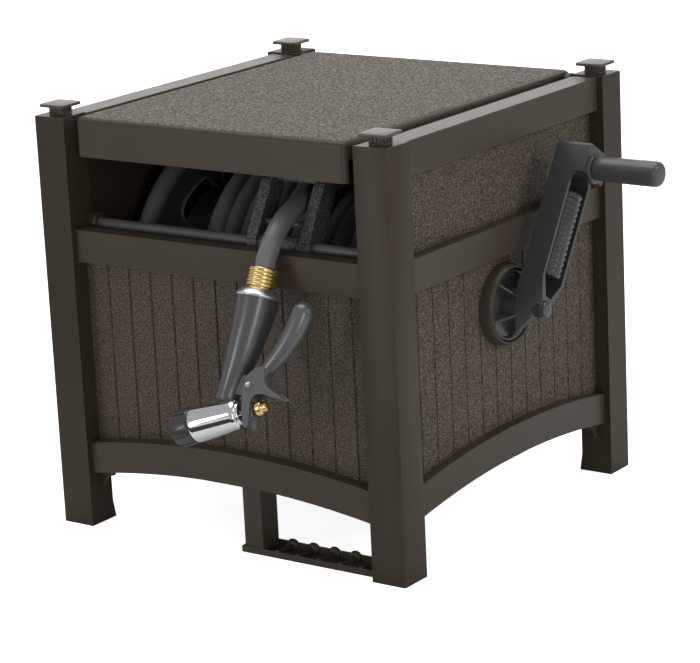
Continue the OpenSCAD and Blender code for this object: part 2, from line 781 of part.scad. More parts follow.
module crank_arm() {
    hub_r = 19;
    color(crank_black) difference() {
        crank_frame() {
            difference() {
                arm_body();
                side_slab(arm_x0 + arm_wall, head_x1 + 1) channel_outline();
            }
            ribbed_core();
            x_turned([[0, disc_x], [disc_r, disc_x], [disc_r, disc_x + 8], [disc_r - 2.5, disc_x + 8],
                [disc_r - 5, disc_x + 3], [hub_r + 2, disc_x + 4], [hub_r, arm_x0 + 1], [0, arm_x0 + 1]]);
            for (a = [0, 72, 144, 216, 288]) rotate([a, 0, 0])
                slab(-1.5, 1.5) polygon([[disc_x + 2, 10], [disc_x + 2, disc_r - 3], [disc_x + 6, disc_r - 3],
                    [arm_x0 + 1, hub_r], [arm_x0 + 1, 10]]);
            x_turned([[0, arm_x0 + 1], [11, arm_x0 + 1], [11, arm_x1 - 1], [10, arm_x1], [0, arm_x1]]);
            translate([0, 0, crank_len]) x_turned([[0, head_x1 - 1], [grip_r + 3.5, head_x1 - 1],
                [grip_r + 1.5, head_x1 + 2], [0, head_x1 + 2]]);
        }
        reel_line() x_cyl(shaft_r + seat_in, disc_x - 1, disc_x + 6 + seat_in);
        crank_frame() x_cyl(5 + seat_in, arm_x0 + 10, arm_x1 + 5);
        crank_frame() translate([0, 0, crank_len]) x_cyl(spindle_r + seat_in, arm_x0 + 8, head_x1 + 9);
    }
}

module crank_pin() {
    color(crank_black) crank_frame() x_turned([[0, arm_x0 + 10 + seat_in], [5, arm_x0 + 10 + seat_in],
        [5, arm_x1 + rest_gap], [10, arm_x1 + rest_gap], [10, arm_x1 + 2.6], [9, arm_x1 + 3.6],
        [0, arm_x1 + 3.6]]);
}

grip_x0 = head_x1 + 2 + rest_gap;
grip_x1 = grip_x0 + grip_len;
module grip_spindle() {
    color(chrome_silver) crank_frame() translate([0, 0, crank_len])
        x_cyl(spindle_r, arm_x0 + 8 + seat_in, grip_x1 - 8);
}

module crank_grip() {
    color(crank_black) crank_frame() translate([0, 0, crank_len]) x_turned([
        [spindle_r + fit_gap, grip_x0], [grip_r - 1.5, grip_x0], [grip_r - 0.5, grip_x0 + 3],
        [grip_r, grip_x0 + 30], [grip_r + 0.4, grip_x1 - 12], [grip_r, grip_x1 - 4],
        [grip_r - 3, grip_x1], [0, grip_x1], [0, grip_x1 - 7], [spindle_r + fit_gap, grip_x1 - 7]]);
}

// Sliding hose guide on the rod
guide_x0 = 27;
guide_x1 = guide_x0 + guide_w;
guide_wall = 15;
module hose_guide() {
    bar_r = 4;
    low_bar = 25;
    high_bar = 79;
    color(hose_grey) difference() {
        rod_line() {
            x_cyl(rod_r + 4, guide_x0, guide_x1);
            for (x = [guide_x0, guide_x1 - guide_wall]) side_slab(x, x + guide_wall) {
                circle(rod_r + 6);
                rotate(90 - guide_lean) {
                    translate([0, -rod_r - 6]) square([guide_len - 12, 2 * rod_r + 14]);
                    translate([guide_len - 12, 1]) circle(rod_r + 7);
                }
            }
            rotate([90 - guide_lean, 0, 0]) {
                translate([0, low_bar, 3]) x_cyl(bar_r, guide_x0 + 1, guide_x1 - 1);
                translate([0, high_bar, 2]) x_cyl(bar_r, guide_x0 + 1, guide_x1 - 1);
            }
        }
        rod_line() x_cyl(rod_r + fit_gap, guide_x0 - 1, guide_x1 + 1);
    }
}

// Free stretch of hose from the winding over the front rail, in hand-set points
strand_route = [
    [54, -24.3, 422.6], [54.2, -48, 422.6], [55.5, -72, 422.4], [58.5, -96, 422], [63, -120, 421.4],
    [68.8, -143, 420.6], [74.6, -165, 419.4], [79.7, -184, 418], [83.3, -201, 415.6], [85.6, -217, 411.2],
    [87, -231.5, 404], [87.7, -244, 394.4], [88, -254.3, 383.4], [88, -262.6, 371.29],
    [88, -267.6714, 360.4143]
];

module hose_strand() {
    color(hose_grey) swept_tube(strand_route, [for (p = strand_route) [1, 0, 0]], hose_d / 2, 10);
}

// Nozzle frame: X across, Y up the hanging nozzle in line with the strand, Z out of its plane
nozzle_at = strand_route[len(strand_route) - 1];
strand_end = strand_route[len(strand_route) - 2] - nozzle_at;
nozzle_rise = atan2(strand_end[2], strand_end[1]);
module nozzle_frame() translate(nozzle_at) rotate([nozzle_rise, 0, 0]) children();

collar_y = -coupling_len - 8;
handle_top = [0, collar_y - 8];
barrel_rear = [12, -165];
pivot_at = [18.6, -134];
barrel_rear_r = 18;

// Frame with X along the barrel towards the spray end, from the barrel's rear face
module barrel_frame() translate([barrel_rear[0], barrel_rear[1], 0])
    rotate([0, 0, 180 + barrel_dip]) children();

module y_turned(profile) {
    rotate([90, 0, 0]) mirror([0, 0, 1]) rotate_extrude() polygon(profile);
}

module hose_coupling() {
    ridge_pitch = coupling_len / 4.5;
    r = coupling_r;
    ridges = [for (i = [0:3]) each [[r - 2, -seat_in - i * ridge_pitch], [r, -i * ridge_pitch - 1],
        [r, -(i + 1) * ridge_pitch + 1.6], [r - 2, -(i + 1) * ridge_pitch + 0.8]]];
    color(brass_gold) nozzle_frame() y_turned(concat([[0, -seat_in]], ridges,
        [[r - 3, -coupling_len], [r - 3, collar_y], [0, collar_y]]));
}

module nozzle_collar() {
    color(chrome_silver) nozzle_frame() y_turned([
        [coupling_r - 3 + seat_in, collar_y + 6.5], [coupling_r + 2, collar_y + 7],
        [coupling_r + 7, collar_y + 2], [coupling_r + 8, collar_y - 6], [coupling_r + 7, collar_y - 8],
        [0, collar_y - 8], [0, collar_y - seat_in], [coupling_r - 3 + seat_in, collar_y - seat_in]]);
}

// Rubber grip of the nozzle: round sections that lean and narrow towards the barrel
handle_sections = [[0, collar_y - 8, 24.2], [-0.8, -62, 23], [-2.7, -80, 21.4], [-4.5, -95.5, 19.8],
    [-8, -119, 16.4], [-12, -140, 13.8], [-14, -152, 13]];
module nozzle_handle() {
    color(crank_black) nozzle_frame() difference() {
        union() {
            for (i = [0:len(handle_sections) - 2]) hull() for (s = [handle_sections[i], handle_sections[i + 1]])
                translate([s[0], s[1], 0]) rotate([90, 0, 0]) cylinder(r = s[2], h = 0.5, center = true, $fn = 28);
            translate([pivot_at[0] - 8, pivot_at[1], 0]) cube([26, 24, 12], center = true);
            translate([-14, -158, 0]) rotate([90, 0, 0]) cylinder(r = 13, h = 14, center = true);
        }
        barrel_frame() x_turned([[0, -2], [barrel_rear_r + seat_in, -2], [barrel_rear_r + seat_in, 6],
            [barrel_r + seat_in, barrel_len - 3], [barrel_r + seat_in, barrel_len + 20], [0, barrel_len + 20]]);
        translate([pivot_at[0], pivot_at[1], -30]) cylinder(r = trigger_pin_r + seat_in, h = 60);
        translate([-60, handle_top[1] - seat_in, -60]) cube([120, 20, 120]);
    }
}

module nozzle_barrel() {
    stem_hole_r = 3.05;
    color(chrome_silver) nozzle_frame() barrel_frame() x_turned([
        [stem_hole_r, 0], [13, 0], [16.5, 3], [barrel_rear_r, 6], [barrel_r, barrel_len - 3],
        [barrel_r - 1, barrel_len], [spigot_r, barrel_len], [spigot_r, barrel_len + spigot_len],
        [stem_hole_r, barrel_len + spigot_len]]);
}

module trigger_pin() {
    head_z = cheek_gap + cheek_t + rest_gap;
    head_h = 1.6;
    color(chrome_silver) nozzle_frame() translate([pivot_at[0], pivot_at[1], 0]) {
        translate([0, 0, -head_z]) cylinder(r = trigger_pin_r, h = 2 * head_z);
        for (side = [-1, 1]) translate([0, 0, side * (head_z + head_h / 2)])
            cylinder(r = trigger_pin_r + 1.4, h = head_h, center = true);
    }
}

// Black ribbed ring that sets the spray, turning on the barrel's spigot
spigot_r = 12;
spigot_len = 12;
module spray_ring() {
    groove_count = 10;
    color(crank_black) nozzle_frame() barrel_frame() difference() {
        x_turned([[0, barrel_len + rest_gap], [barrel_r - 1.5, barrel_len + rest_gap],
            [barrel_r + 0.5, barrel_len + 3], [barrel_r + 0.5, barrel_len + spray_ring_len - 5],
            [barrel_r - 2, barrel_len + spray_ring_len], [15, barrel_len + spray_ring_len],
            [13, barrel_len + spray_ring_len - 4], [0, barrel_len + spray_ring_len - 4]]);
        for (i = [0:groove_count - 1]) rotate([(i + 0.3) * 360 / groove_count, 0, 0])
            translate([barrel_len + 4, barrel_r - 1.1, -1.2]) cube([spray_ring_len, 5, 2.4]);
        x_cyl(spigot_r + fit_gap, barrel_len, barrel_len + spigot_len + 1);
        x_cyl(2.2, barrel_len + 2, barrel_len + spray_ring_len + 1);
    }
}

// Trigger: rounded lever, two cheeks on the pin, a hooked guard and the yoke behind the barrel
lever_sections = [[33, -112.5, 8.6], [44.6, -97, 10.2], [56.5, -75, 12.3], [63.5, -54, 13.4], [65.5, -44, 13.2]];
trigger_pin_r = 2.6;
cheek_gap = 6.4;
cheek_t = 4;
module nozzle_trigger() {
    color(crank_black) nozzle_frame() difference() {
        union() {
            for (i = [0:len(lever_sections) - 2]) hull() for (s = [lever_sections[i], lever_sections[i + 1]])
                translate([s[0], s[1], 0]) sphere(s[2], $fn = 20);
            for (side = [-1, 1]) translate([0, 0, side * (cheek_gap + cheek_t / 2)])
                linear_extrude(cheek_t, center = true) cheek_outline();
            translate([0, 0, -cheek_gap - 1]) linear_extrude(2 * cheek_gap + 2)
                polygon([[27.5, -121], [33, -104], [40, -106], [37, -122], [43, -131.5], [51, -136.5],
                    [62, -142], [51, -143], [40, -141.2], [33, -140.3], [28.5, -141.5], [27, -135]]);
            barrel_frame() translate([-17, -9, -cheek_gap - 1]) cube([5, 18, 2 * cheek_gap + 2]);
        }
        barrel_frame() x_cyl(5.5, -30, -8);
        translate([pivot_at[0], pivot_at[1], -30]) cylinder(r = trigger_pin_r + fit_gap, h = 60);
    }
}

module cheek_outline() {
    polygon([[12, -127], [15, -121.5], [19.4, -116.5], [25, -112.5], [31.9, -110.3], [36, -113], [38, -124],
        [43.3, -131.5], [49.6, -135.6], [58.5, -138.6], [66, -142.2], [66, -143.8], [54, -143.4],
        [40, -141.4], [31, -143], [27, -147], [25.2, -152.5], [27, -161.4], [28.3, -172.8], [28.8, -179],
        [26, -182], [22.5, -180], [19.5, -171], [15, -160], [14.4, -151.6], [10.7, -142.9], [11.2, -133.6]]);
}

module valve_stem() {
    color(chrome_silver) nozzle_frame() barrel_frame() {
        x_cyl(3, -30, 30);
        x_cyl(4.5, -33, -30);
    }
}

module flow_knob() {
    color(brass_gold) nozzle_frame() barrel_frame() difference() {
        x_turned([[0, -28], [6.5, -28], [8, -26], [8, -21], [6, -19.6], [4.5, -18], [0, -18]]);
        x_cyl(3 + fit_gap, -29, -17);
    }
}

front_left_post();
front_right_post();
rear_left_post();
rear_right_post();
post_caps();
front_panel();
rear_panel();
left_panel();
right_panel();
floor_tray();
foot_step();
guide_rod();
rod_sockets();
crank_ring();
inlet_bush();
inlet_fitting();
hinge_brackets();
lid();
hinge_pins();
left_flange();
right_flange();
reel_drum();
crank_shaft();
water_tube();
outlet_elbow();
inner_hose_fitting();
wound_hose();
crank_arm();
crank_pin();
grip_spindle();
crank_grip();
hose_guide();
hose_strand();
hose_coupling();
nozzle_collar();
nozzle_handle();
nozzle_barrel();
trigger_pin();
spray_ring();
nozzle_trigger();
valve_stem();
flow_knob();
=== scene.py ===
"""Looks for the hose storage box: finishes, hose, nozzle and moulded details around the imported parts."""
import json
import math

import bmesh
import bpy
from mathutils import Matrix, Vector

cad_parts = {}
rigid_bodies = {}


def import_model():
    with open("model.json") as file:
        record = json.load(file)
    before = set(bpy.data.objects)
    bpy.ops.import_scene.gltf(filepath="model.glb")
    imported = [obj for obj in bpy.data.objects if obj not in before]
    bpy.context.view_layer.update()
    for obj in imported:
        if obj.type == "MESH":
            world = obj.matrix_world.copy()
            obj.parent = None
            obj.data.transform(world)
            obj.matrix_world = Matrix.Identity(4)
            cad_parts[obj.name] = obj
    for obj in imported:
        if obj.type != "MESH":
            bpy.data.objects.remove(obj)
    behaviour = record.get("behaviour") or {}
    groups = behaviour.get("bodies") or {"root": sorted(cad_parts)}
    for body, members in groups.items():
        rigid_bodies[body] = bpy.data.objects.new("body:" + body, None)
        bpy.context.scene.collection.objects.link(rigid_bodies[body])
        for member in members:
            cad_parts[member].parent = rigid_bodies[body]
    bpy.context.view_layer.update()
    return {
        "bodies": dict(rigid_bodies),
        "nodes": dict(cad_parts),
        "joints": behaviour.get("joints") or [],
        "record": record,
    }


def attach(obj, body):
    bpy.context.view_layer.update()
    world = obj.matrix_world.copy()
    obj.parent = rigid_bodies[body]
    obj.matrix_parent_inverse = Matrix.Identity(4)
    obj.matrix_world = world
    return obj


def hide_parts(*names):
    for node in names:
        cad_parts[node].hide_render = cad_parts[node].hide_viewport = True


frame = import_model()
nodes = frame["nodes"]

MM = 0.001


# Studio

# Strength of the surroundings as fill light and in reflections, and of the floor's own glow
FILL = 0.34
GLOSS = 0.42
FLOOR_GLOW = 0.87
WHITE = (1, 1, 1, 1)
CAMERA_AZIMUTH = 35.9
CAMERA_ELEVATION = 15.2
CAMERA_ROLL = -2.76
CAMERA_AT = (1.9923, -2.7388, 1.1296)
CAMERA_LENS = 145.69


def make_camera():
    """Camera at the photograph's viewing angle."""
    data = bpy.data.cameras.new("camera")
    data.lens = CAMERA_LENS
    data.sensor_width = 36
    data.clip_start = 0.05
    data.clip_end = 50
    camera = bpy.data.objects.new("camera", data)
    bpy.context.scene.collection.objects.link(camera)
    turn = rolled(CAMERA_AZIMUTH, "Z") @ rolled(90 - CAMERA_ELEVATION, "X") @ rolled(CAMERA_ROLL, "Z")
    camera.matrix_world = Matrix.Translation(CAMERA_AT) @ turn
    bpy.context.scene.camera = camera


def make_light(name, place, aim, size, power):
    """Rectangular softbox that lights the object and shows in its gloss, but not to the camera."""
    data = bpy.data.lights.new(name, "AREA")
    data.shape = "RECTANGLE"
    data.size = size[0]
    data.size_y = size[1]
    data.energy = power
    light = bpy.data.objects.new(name, data)
    bpy.context.scene.collection.objects.link(light)
    light.location = place
    light.rotation_mode = "QUATERNION"
    light.rotation_quaternion = (Vector(aim) - Vector(place)).to_track_quat("-Z", "Y")
    light.visible_camera = False


def add_node(tree, kind, **values):
    """Shader node with some of its inputs set."""
    node = tree.nodes.new("ShaderNode" + kind)
    for name, value in values.items():
        node.inputs[name].default_value = value
    return node


def wire(source, output, target, entry):
    """Link from an output of one node to an input of another in the same tree."""
    source.id_data.links.new(source.outputs[output], target.inputs[entry])


def mix_on_ray(path, ray, usual, special):
    """Mix of two shader nodes: the special one on one kind of ray, the usual one on all others."""
    mix = add_node(path.id_data, "MixShader")
    wire(path, ray, mix, "Fac")
    wire(usual, 0, mix, 1)
    wire(special, 0, mix, 2)
    return mix


def make_world():
    """White surroundings for the camera, a paler grey in reflections and a soft fill light."""
    world = bpy.data.worlds.new("studio")
    bpy.context.scene.world = world
    world.use_nodes = True
    tree = world.node_tree
    tree.nodes.clear()
    path = add_node(tree, "LightPath")
    fill, gloss, white = [add_node(tree, "Background", Color=WHITE, Strength=s) for s in (FILL, GLOSS, 1)]
    lit = mix_on_ray(path, "Is Glossy Ray", fill, gloss)
    seen = mix_on_ray(path, "Is Camera Ray", lit, white)
    wire(seen, "Shader", add_node(tree, "OutputWorld"), "Surface")


def make_plane(name, size, place):
    let_go()
    bpy.ops.mesh.primitive_plane_add(size=size, location=place)
    plane = bpy.context.object
    plane.name = name
    return plane


def make_floor():
    """Pale floor that the camera sees as white except where the object shades it."""
    floor = make_plane("floor", 8, (0, 0, 0))
    material, surface = new_finish("pale_floor", (0.82, 0.82, 0.82), 0.9)
    tree = material.node_tree
    both = add_node(tree, "AddShader")
    wire(surface, "BSDF", both, 0)
    wire(add_node(tree, "Emission", Color=WHITE, Strength=FLOOR_GLOW), "Emission", both, 1)
    seen = mix_on_ray(add_node(tree, "LightPath"), "Is Camera Ray", surface, both)
    wire(seen, "Shader", tree.nodes["Material Output"], "Surface")
    floor.data.materials.append(material)


def make_dark_card():
    """Dark card on the floor in front, seen only in the shine of chrome and gloss."""
    card = make_plane("dark_card", 1, (-0.2, -0.95, 0.01))
    card.scale = (2.4, 0.7, 1)
    apply_place(card)
    card.data.materials.append(new_finish("card_black", (0.02, 0.02, 0.02), 1)[0])
    card.visible_camera = False
    card.visible_diffuse = False
    card.visible_shadow = False


# Finishes

def new_finish(name, color, roughness, metallic=0.0, gloss=0.5):
    material = bpy.data.materials.new(name)
    material.use_nodes = True
    shader = material.node_tree.nodes["Principled BSDF"]
    shader.inputs["Base Color"].default_value = (*color, 1)
    shader.inputs["Roughness"].default_value = roughness
    shader.inputs["Metallic"].default_value = metallic
    shader.inputs["Specular IOR Level"].default_value = gloss
    return material, shader


def new_noise(shader, scale, detail, stretch=(1, 1, 1)):
    """Noise on object coordinates, in features per metre, stretched along the axes."""
    tree = shader.id_data
    mapping = add_node(tree, "Mapping", Scale=stretch)
    noise = add_node(tree, "TexNoise", Scale=scale, Detail=detail)
    wire(add_node(tree, "TexCoord"), "Object", mapping, "Vector")
    wire(mapping, "Vector", noise, "Vector")
    return noise


def feed_ramp(noise, shader, entry, stops):
    """Colours the noise by stops of place and colour, and feeds it to one input of the shader."""
    ramp = add_node(noise.id_data, "ValToRGB")
    while len(ramp.color_ramp.elements) < len(stops):
        ramp.color_ramp.elements.new(0.5)
    for element, (at, color) in zip(ramp.color_ramp.elements, stops):
        element.position = at
        element.color = (*color, 1)
    wire(noise, "Fac", ramp, "Fac")
    wire(ramp, "Color", shader, entry)


def tint(noise, shader, *stops):
    feed_ramp(noise, shader, "Base Color", stops)


def rub(noise, shader, low, high):
    """Roughness that wanders with the noise between two values."""
    feed_ramp(noise, shader, "Roughness", [(0.3, (low,) * 3), (0.7, (high,) * 3)])


def raise_skin(noise, shader, strength, distance):
    bump = add_node(noise.id_data, "Bump", Strength=strength, Distance=distance)
    wire(noise, "Fac", bump, "Height")
    wire(bump, "Normal", shader, "Normal")


def toned(color, tone):
    return tuple(c * tone for c in color)


def smooth_resin(name, low, high, gloss):
    """Brown moulded resin with a satin sheen and a trace of orange peel."""
    material, shader = new_finish(name, low, 0.4, gloss=gloss)
    tint(new_noise(shader, 9, 2), shader, (0.3, low), (0.7, high))
    rub(new_noise(shader, 60, 4), shader, 0.39, 0.42)
    raise_skin(new_noise(shader, 900, 2), shader, 0.06, 0.0004)
    return material


def stippled_resin(name, grain, relief, tone):
    """Brown resin with a moulded stipple: pale raised grains on a dark ground."""
    material, shader = new_finish(name, (0.08, 0.063, 0.047), 0.6, gloss=0.14)
    grains = new_noise(shader, grain, 2)
    tint(grains, shader, (0.32, toned((0.026, 0.0212, 0.0155), tone)),
         (0.46, toned((0.065, 0.0525, 0.0385), tone)), (0.55, toned((0.112, 0.092, 0.07), tone)),
         (0.68, toned((0.205, 0.172, 0.135), tone)))
    rub(grains, shader, 0.7, 0.5)
    raise_skin(grains, shader, relief, 0.0012)
    return material


def black_resin(name, color, roughness, grain, gloss=0.5):
    """Black or charcoal moulded resin with a fine grain in its skin."""
    material, shader = new_finish(name, color, roughness, gloss=gloss)
    cloudy = new_noise(shader, 260, 2)
    tint(cloudy, shader, (0.3, toned(color, 0.97)), (0.7, toned(color, 1.03)))
    rub(cloudy, shader, roughness - 0.008, roughness + 0.01)
    raise_skin(new_noise(shader, 1100, 2), shader, grain, 0.0005)
    return material


def speckled_charcoal():
    """Charcoal resin with a coarse pale speckle moulded into its skin."""
    material, shader = new_finish("guide_charcoal_resin", (0.08, 0.08, 0.078), 0.5)
    speckle = new_noise(shader, 520, 2)
    tint(speckle, shader, (0.34, (0.03, 0.03, 0.029)), (0.52, (0.075, 0.075, 0.073)),
         (0.68, (0.2, 0.2, 0.195)))
    rub(speckle, shader, 0.6, 0.42)
    raise_skin(speckle, shader, 0.5, 0.001)
    return material


def hose_vinyl():
    """Charcoal vinyl hose with a soft sheen and slight scuffs."""
    material, shader = new_finish("hose_vinyl", (0.18, 0.182, 0.182), 0.33)
    scuff = new_noise(shader, 120, 4)
    tint(scuff, shader, (0.3, (0.165, 0.167, 0.167)), (0.72, (0.195, 0.197, 0.197)))
    rub(scuff, shader, 0.3, 0.38)
    raise_skin(new_noise(shader, 700, 2), shader, 0.08, 0.0004)
    return material


def turned_brass():
    material, shader = new_finish("turned_brass", (0.9, 0.65, 0.28), 0.26, 1.0)
    tarnish = new_noise(shader, 45, 2)
    tint(tarnish, shader, (0.3, (0.93, 0.67, 0.27)), (0.7, (0.96, 0.72, 0.32)))
    rub(tarnish, shader, 0.25, 0.29)
    return material


def chrome_plate(name, roughness):
    material, shader = new_finish(name, (0.82, 0.83, 0.85), roughness, 1.0)
    rub(new_noise(shader, 50, 2), shader, roughness, roughness + 0.03)
    return material


def plain_steel():
    """Steel brushed along the X axis."""
    material, shader = new_finish("plain_steel", (0.56, 0.56, 0.55), 0.3, 1.0)
    rub(new_noise(shader, 500, 3, (0.05, 1, 1)), shader, 0.24, 0.4)
    return material


RESIN = smooth_resin("brown_resin_satin", (0.053, 0.0415, 0.0285), (0.0575, 0.0452, 0.0315), 0.32)
# Painted shade: the posts get a darker, less glossy copy of the same brown resin.
POST_RESIN_PAINTED_SHADE = smooth_resin("brown_resin_posts_painted_shade", (0.0455, 0.0352, 0.0224), (0.0485, 0.0376, 0.024), 0.2)
# Painted light: the caps get a lighter copy of the same brown resin, for their brighter tops.
CAP_RESIN_PAINTED_LIGHT = smooth_resin("brown_resin_caps_painted_light", (0.078, 0.064, 0.046), (0.086, 0.07, 0.051), 0.4)
STIPPLE = stippled_resin("brown_resin_stippled", 660, 0.65, 1.02)
LID_STIPPLE = stippled_resin("brown_resin_lid_stipple", 360, 1, 0.93)
CRANK_BLACK = black_resin("crank_black_resin", (0.047, 0.048, 0.048), 0.24, 0.06)
# Painted light: the grip sleeve gets a lighter copy of the crank's black resin, for the highlights along it.
GRIP_BLACK_PAINTED_LIGHT = black_resin("crank_grip_resin_painted_light", (0.068, 0.069, 0.069), 0.3, 0.06)
REEL_BLACK = black_resin("reel_black_resin", (0.055, 0.056, 0.055), 0.3, 0.1)
# Paler charcoal for the flange's rim, raised opening edges and ribs: on the rim it is the hose's colour
# together with a painted highlight, on the edges and ribs a painted highlight.
REEL_RIM_AND_PAINTED_HIGHLIGHT = black_resin("reel_rim_and_painted_highlight_resin", (0.19, 0.192, 0.19), 0.28, 0.1)
GUIDE_GREY = speckled_charcoal()
ROD_GREY = black_resin("rod_charcoal_resin", (0.12, 0.12, 0.118), 0.3, 0.06)
SOFT_GRIP = black_resin("nozzle_soft_rubber", (0.058, 0.061, 0.06), 0.3, 0.06, 1.0)
TRIGGER_GREY = black_resin("trigger_rubber", (0.085, 0.088, 0.087), 0.3, 0.06, 1.0)
HOSE = hose_vinyl()
BRASS = turned_brass()
CHROME = chrome_plate("polished_chrome", 0.07)
SATIN_CHROME = chrome_plate("satin_chrome", 0.3)
STEEL = plain_steel()

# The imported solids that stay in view; all others are replaced by pieces below
NODE_FINISH = {
    "floor_tray": RESIN, "rod_sockets": RESIN, "hinge_brackets": RESIN, "hinge_pins": STEEL,
    "inlet_bush": REEL_BLACK, "inlet_fitting": REEL_BLACK, "reel_drum": REEL_BLACK,
    "water_tube": REEL_BLACK, "outlet_elbow": REEL_BLACK, "inner_hose_fitting": BRASS,
    "crank_shaft": STEEL, "grip_spindle": STEEL,
}


def paint(piece, finish):
    """Gives a piece one finish, unless its faces already share out two."""
    if len(piece.data.materials) < 2:
        piece.data.materials.clear()
        piece.data.materials.append(finish)


# Hose

def tube_along(name, points, radius, sides, finish):
    """Smooth closed tube whose centreline is a curve through the points."""
    data = bpy.data.curves.new(name, "CURVE")
    data.dimensions = "3D"
    data.bevel_depth = radius
    data.bevel_resolution = sides // 2 - 2
    data.use_fill_caps = True
    data.twist_mode = "MINIMUM"
    line = data.splines.new("POLY")
    line.points.add(len(points) - 1)
    for spot, point in zip(line.points, points):
        spot.co = (*point, 1)
    line.use_smooth = True
    tube = bpy.data.objects.new(name, data)
    bpy.context.scene.collection.objects.link(tube)
    data.materials.append(finish)
    return tube


HOSE_D = 24 * MM
AXLE_Z = 272 * MM
DRUM_FLAT_R = 112.8 * MM
DRUM_SIDES = 24
TURN_PITCH = 24.8 * MM
TURN_LEFT_X = -101 * MM
FIRST_TURNS = 10.5
CLIMB_TURNS = 0.5
LAST_TURNS = 6.25
ALL_TURNS = FIRST_TURNS + CLIMB_TURNS + LAST_TURNS
INNER_LAYER_R = DRUM_FLAT_R / math.cos(math.radians(180 / DRUM_SIDES)) + HOSE_D / 2
FLARE = 6 * MM
FLARE_SPAN = 0.8
STEPS_PER_TURN = 40


def winding_point(turn):
    """Middle of the hose after this many turns; it bulges left where it climbs to the outer layer."""
    climbed = turn - FIRST_TURNS
    after_climb = climbed - CLIMB_TURNS
    from_mid = abs(climbed - CLIMB_TURNS / 2)
    bulge = FLARE * (1 + math.cos(math.pi * from_mid / FLARE_SPAN)) / 2 if from_mid < FLARE_SPAN else 0
    if climbed < 0:
        x = TURN_LEFT_X - climbed * TURN_PITCH
        r = INNER_LAYER_R
    elif after_climb < 0:
        x = TURN_LEFT_X
        r = INNER_LAYER_R + TURN_PITCH * (1 - math.cos(math.pi * climbed / CLIMB_TURNS)) / 2
    else:
        x = TURN_LEFT_X + after_climb * TURN_PITCH
        r = INNER_LAYER_R + TURN_PITCH
    angle = math.radians(90 + 360 * (turn - ALL_TURNS))
    return Vector((x - bulge, r * math.cos(angle), AXLE_Z + r * math.sin(angle)))


STRAND_ROUTE = [
    (54, -24.3, 422.6), (54.2, -48, 422.6), (55.5, -72, 422.4), (58.5, -96, 422), (63, -120, 421.4),
    (68.8, -143, 420.6), (74.6, -165, 419.4), (79.7, -184, 418), (83.3, -201, 415.6), (85.6, -217, 411.2),
    (87, -231.5, 404), (87.7, -244, 394.4), (88, -254.3, 383.4), (88, -262.6, 371.29),
    (88, -267.6714, 360.4143)]


def smooth_through(points, steps):
    """Points on a smooth curve through all the given ones."""
    ends = [points[0] * 2 - points[1], *points, points[-1] * 2 - points[-2]]
    line = []
    for before, start, end, after in zip(ends, ends[1:], ends[2:], ends[3:]):
        square = 2 * before - 5 * start + 4 * end - after
        cube = 3 * start - before - 3 * end + after
        for step in range(steps):
            t = step / steps
            line.append(0.5 * (2 * start + (end - before) * t + square * t ** 2 + cube * t ** 3))
    line.append(points[-1])
    return line


def wind_hose():
    count = int(ALL_TURNS * STEPS_PER_TURN)
    points = [winding_point(i / STEPS_PER_TURN) for i in range(count + 1)]
    inner_tail = points[0] + HOSE_D * (points[0] - points[1]).normalized()
    outer_tail = Vector(STRAND_ROUTE[0]) * MM
    hose = tube_along("hose_on_reel", [inner_tail, *points, outer_tail], HOSE_D / 2, 12, HOSE)
    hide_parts("wound_hose")
    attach(hose, "reel")


def hang_strand():
    route = [Vector(p) * MM for p in STRAND_ROUTE]
    line = smooth_through(route, 4)
    strand = tube_along("hose_end", line, HOSE_D / 2, 20, HOSE)
    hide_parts("hose_strand")
    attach(strand, "guide")


# Modelling: every size below is in millimetres

def moved(x, y, z):
    return Matrix.Translation(Vector((x, y, z)) * MM)


def rolled(degrees, axis):
    return Matrix.Rotation(math.radians(degrees), 4, axis)


def arc(x, y, angles, wide, high=None):
    """Points on a circle or an upright ellipse at the given angles in degrees."""
    high = high or wide
    return [(x + wide * math.cos(math.radians(a)), y + high * math.sin(math.radians(a))) for a in angles]


def let_go():
    bpy.ops.object.select_all(action="DESELECT")


def take(piece):
    let_go()
    piece.select_set(True)
    bpy.context.view_layer.objects.active = piece


def edit(piece):
    take(piece)
    bpy.ops.object.mode_set(mode="EDIT")
    bpy.ops.mesh.select_mode(type="VERT")


def done():
    bpy.ops.object.mode_set(mode="OBJECT")


def name_new(name):
    piece = bpy.context.object
    piece.name = name
    piece.data.name = name
    return piece


def apply_place(piece):
    take(piece)
    bpy.ops.object.transform_apply(location=True, rotation=True, scale=True)


def block(name, low, high):
    """Cube primitive brought to two opposite corners."""
    let_go()
    bpy.ops.mesh.primitive_cube_add(size=1, location=[(a + b) / 2 * MM for a, b in zip(low, high)])
    piece = name_new(name)
    piece.scale = [(b - a) * MM for a, b in zip(low, high)]
    apply_place(piece)
    return piece


def pick(piece, kind, test):
    """Selects the faces, edges or vertices that pass the test, in edit mode."""
    bpy.ops.mesh.select_mode(type=kind)
    bpy.ops.mesh.select_all(action="DESELECT")
    shape = bmesh.from_edit_mesh(piece.data)
    shape.normal_update()
    if kind == "FACE":
        chosen = [f for f in shape.faces if test(f.calc_center_median() / MM, f.normal)]
    elif kind == "EDGE":
        chosen = [e for e in shape.edges if test(e.verts[0].co / MM, e.verts[1].co / MM)]
    else:
        chosen = [v for v in shape.verts if test(v.co / MM)]
    show_chosen(piece, shape, chosen)


def show_chosen(piece, shape, chosen):
    for part in chosen:
        part.select_set(True)
    shape.select_flush_mode()
    bmesh.update_edit_mesh(piece.data)


def cut(point, normal, clear_inner=False):
    """Bisects the whole mesh that is in edit mode, and may clear what lies behind the plane."""
    bpy.ops.mesh.select_mode(type="VERT")
    bpy.ops.mesh.select_all(action="SELECT")
    bpy.ops.mesh.bisect(plane_co=Vector(point) * MM, plane_no=normal, use_fill=clear_inner,
                        clear_inner=clear_inner)


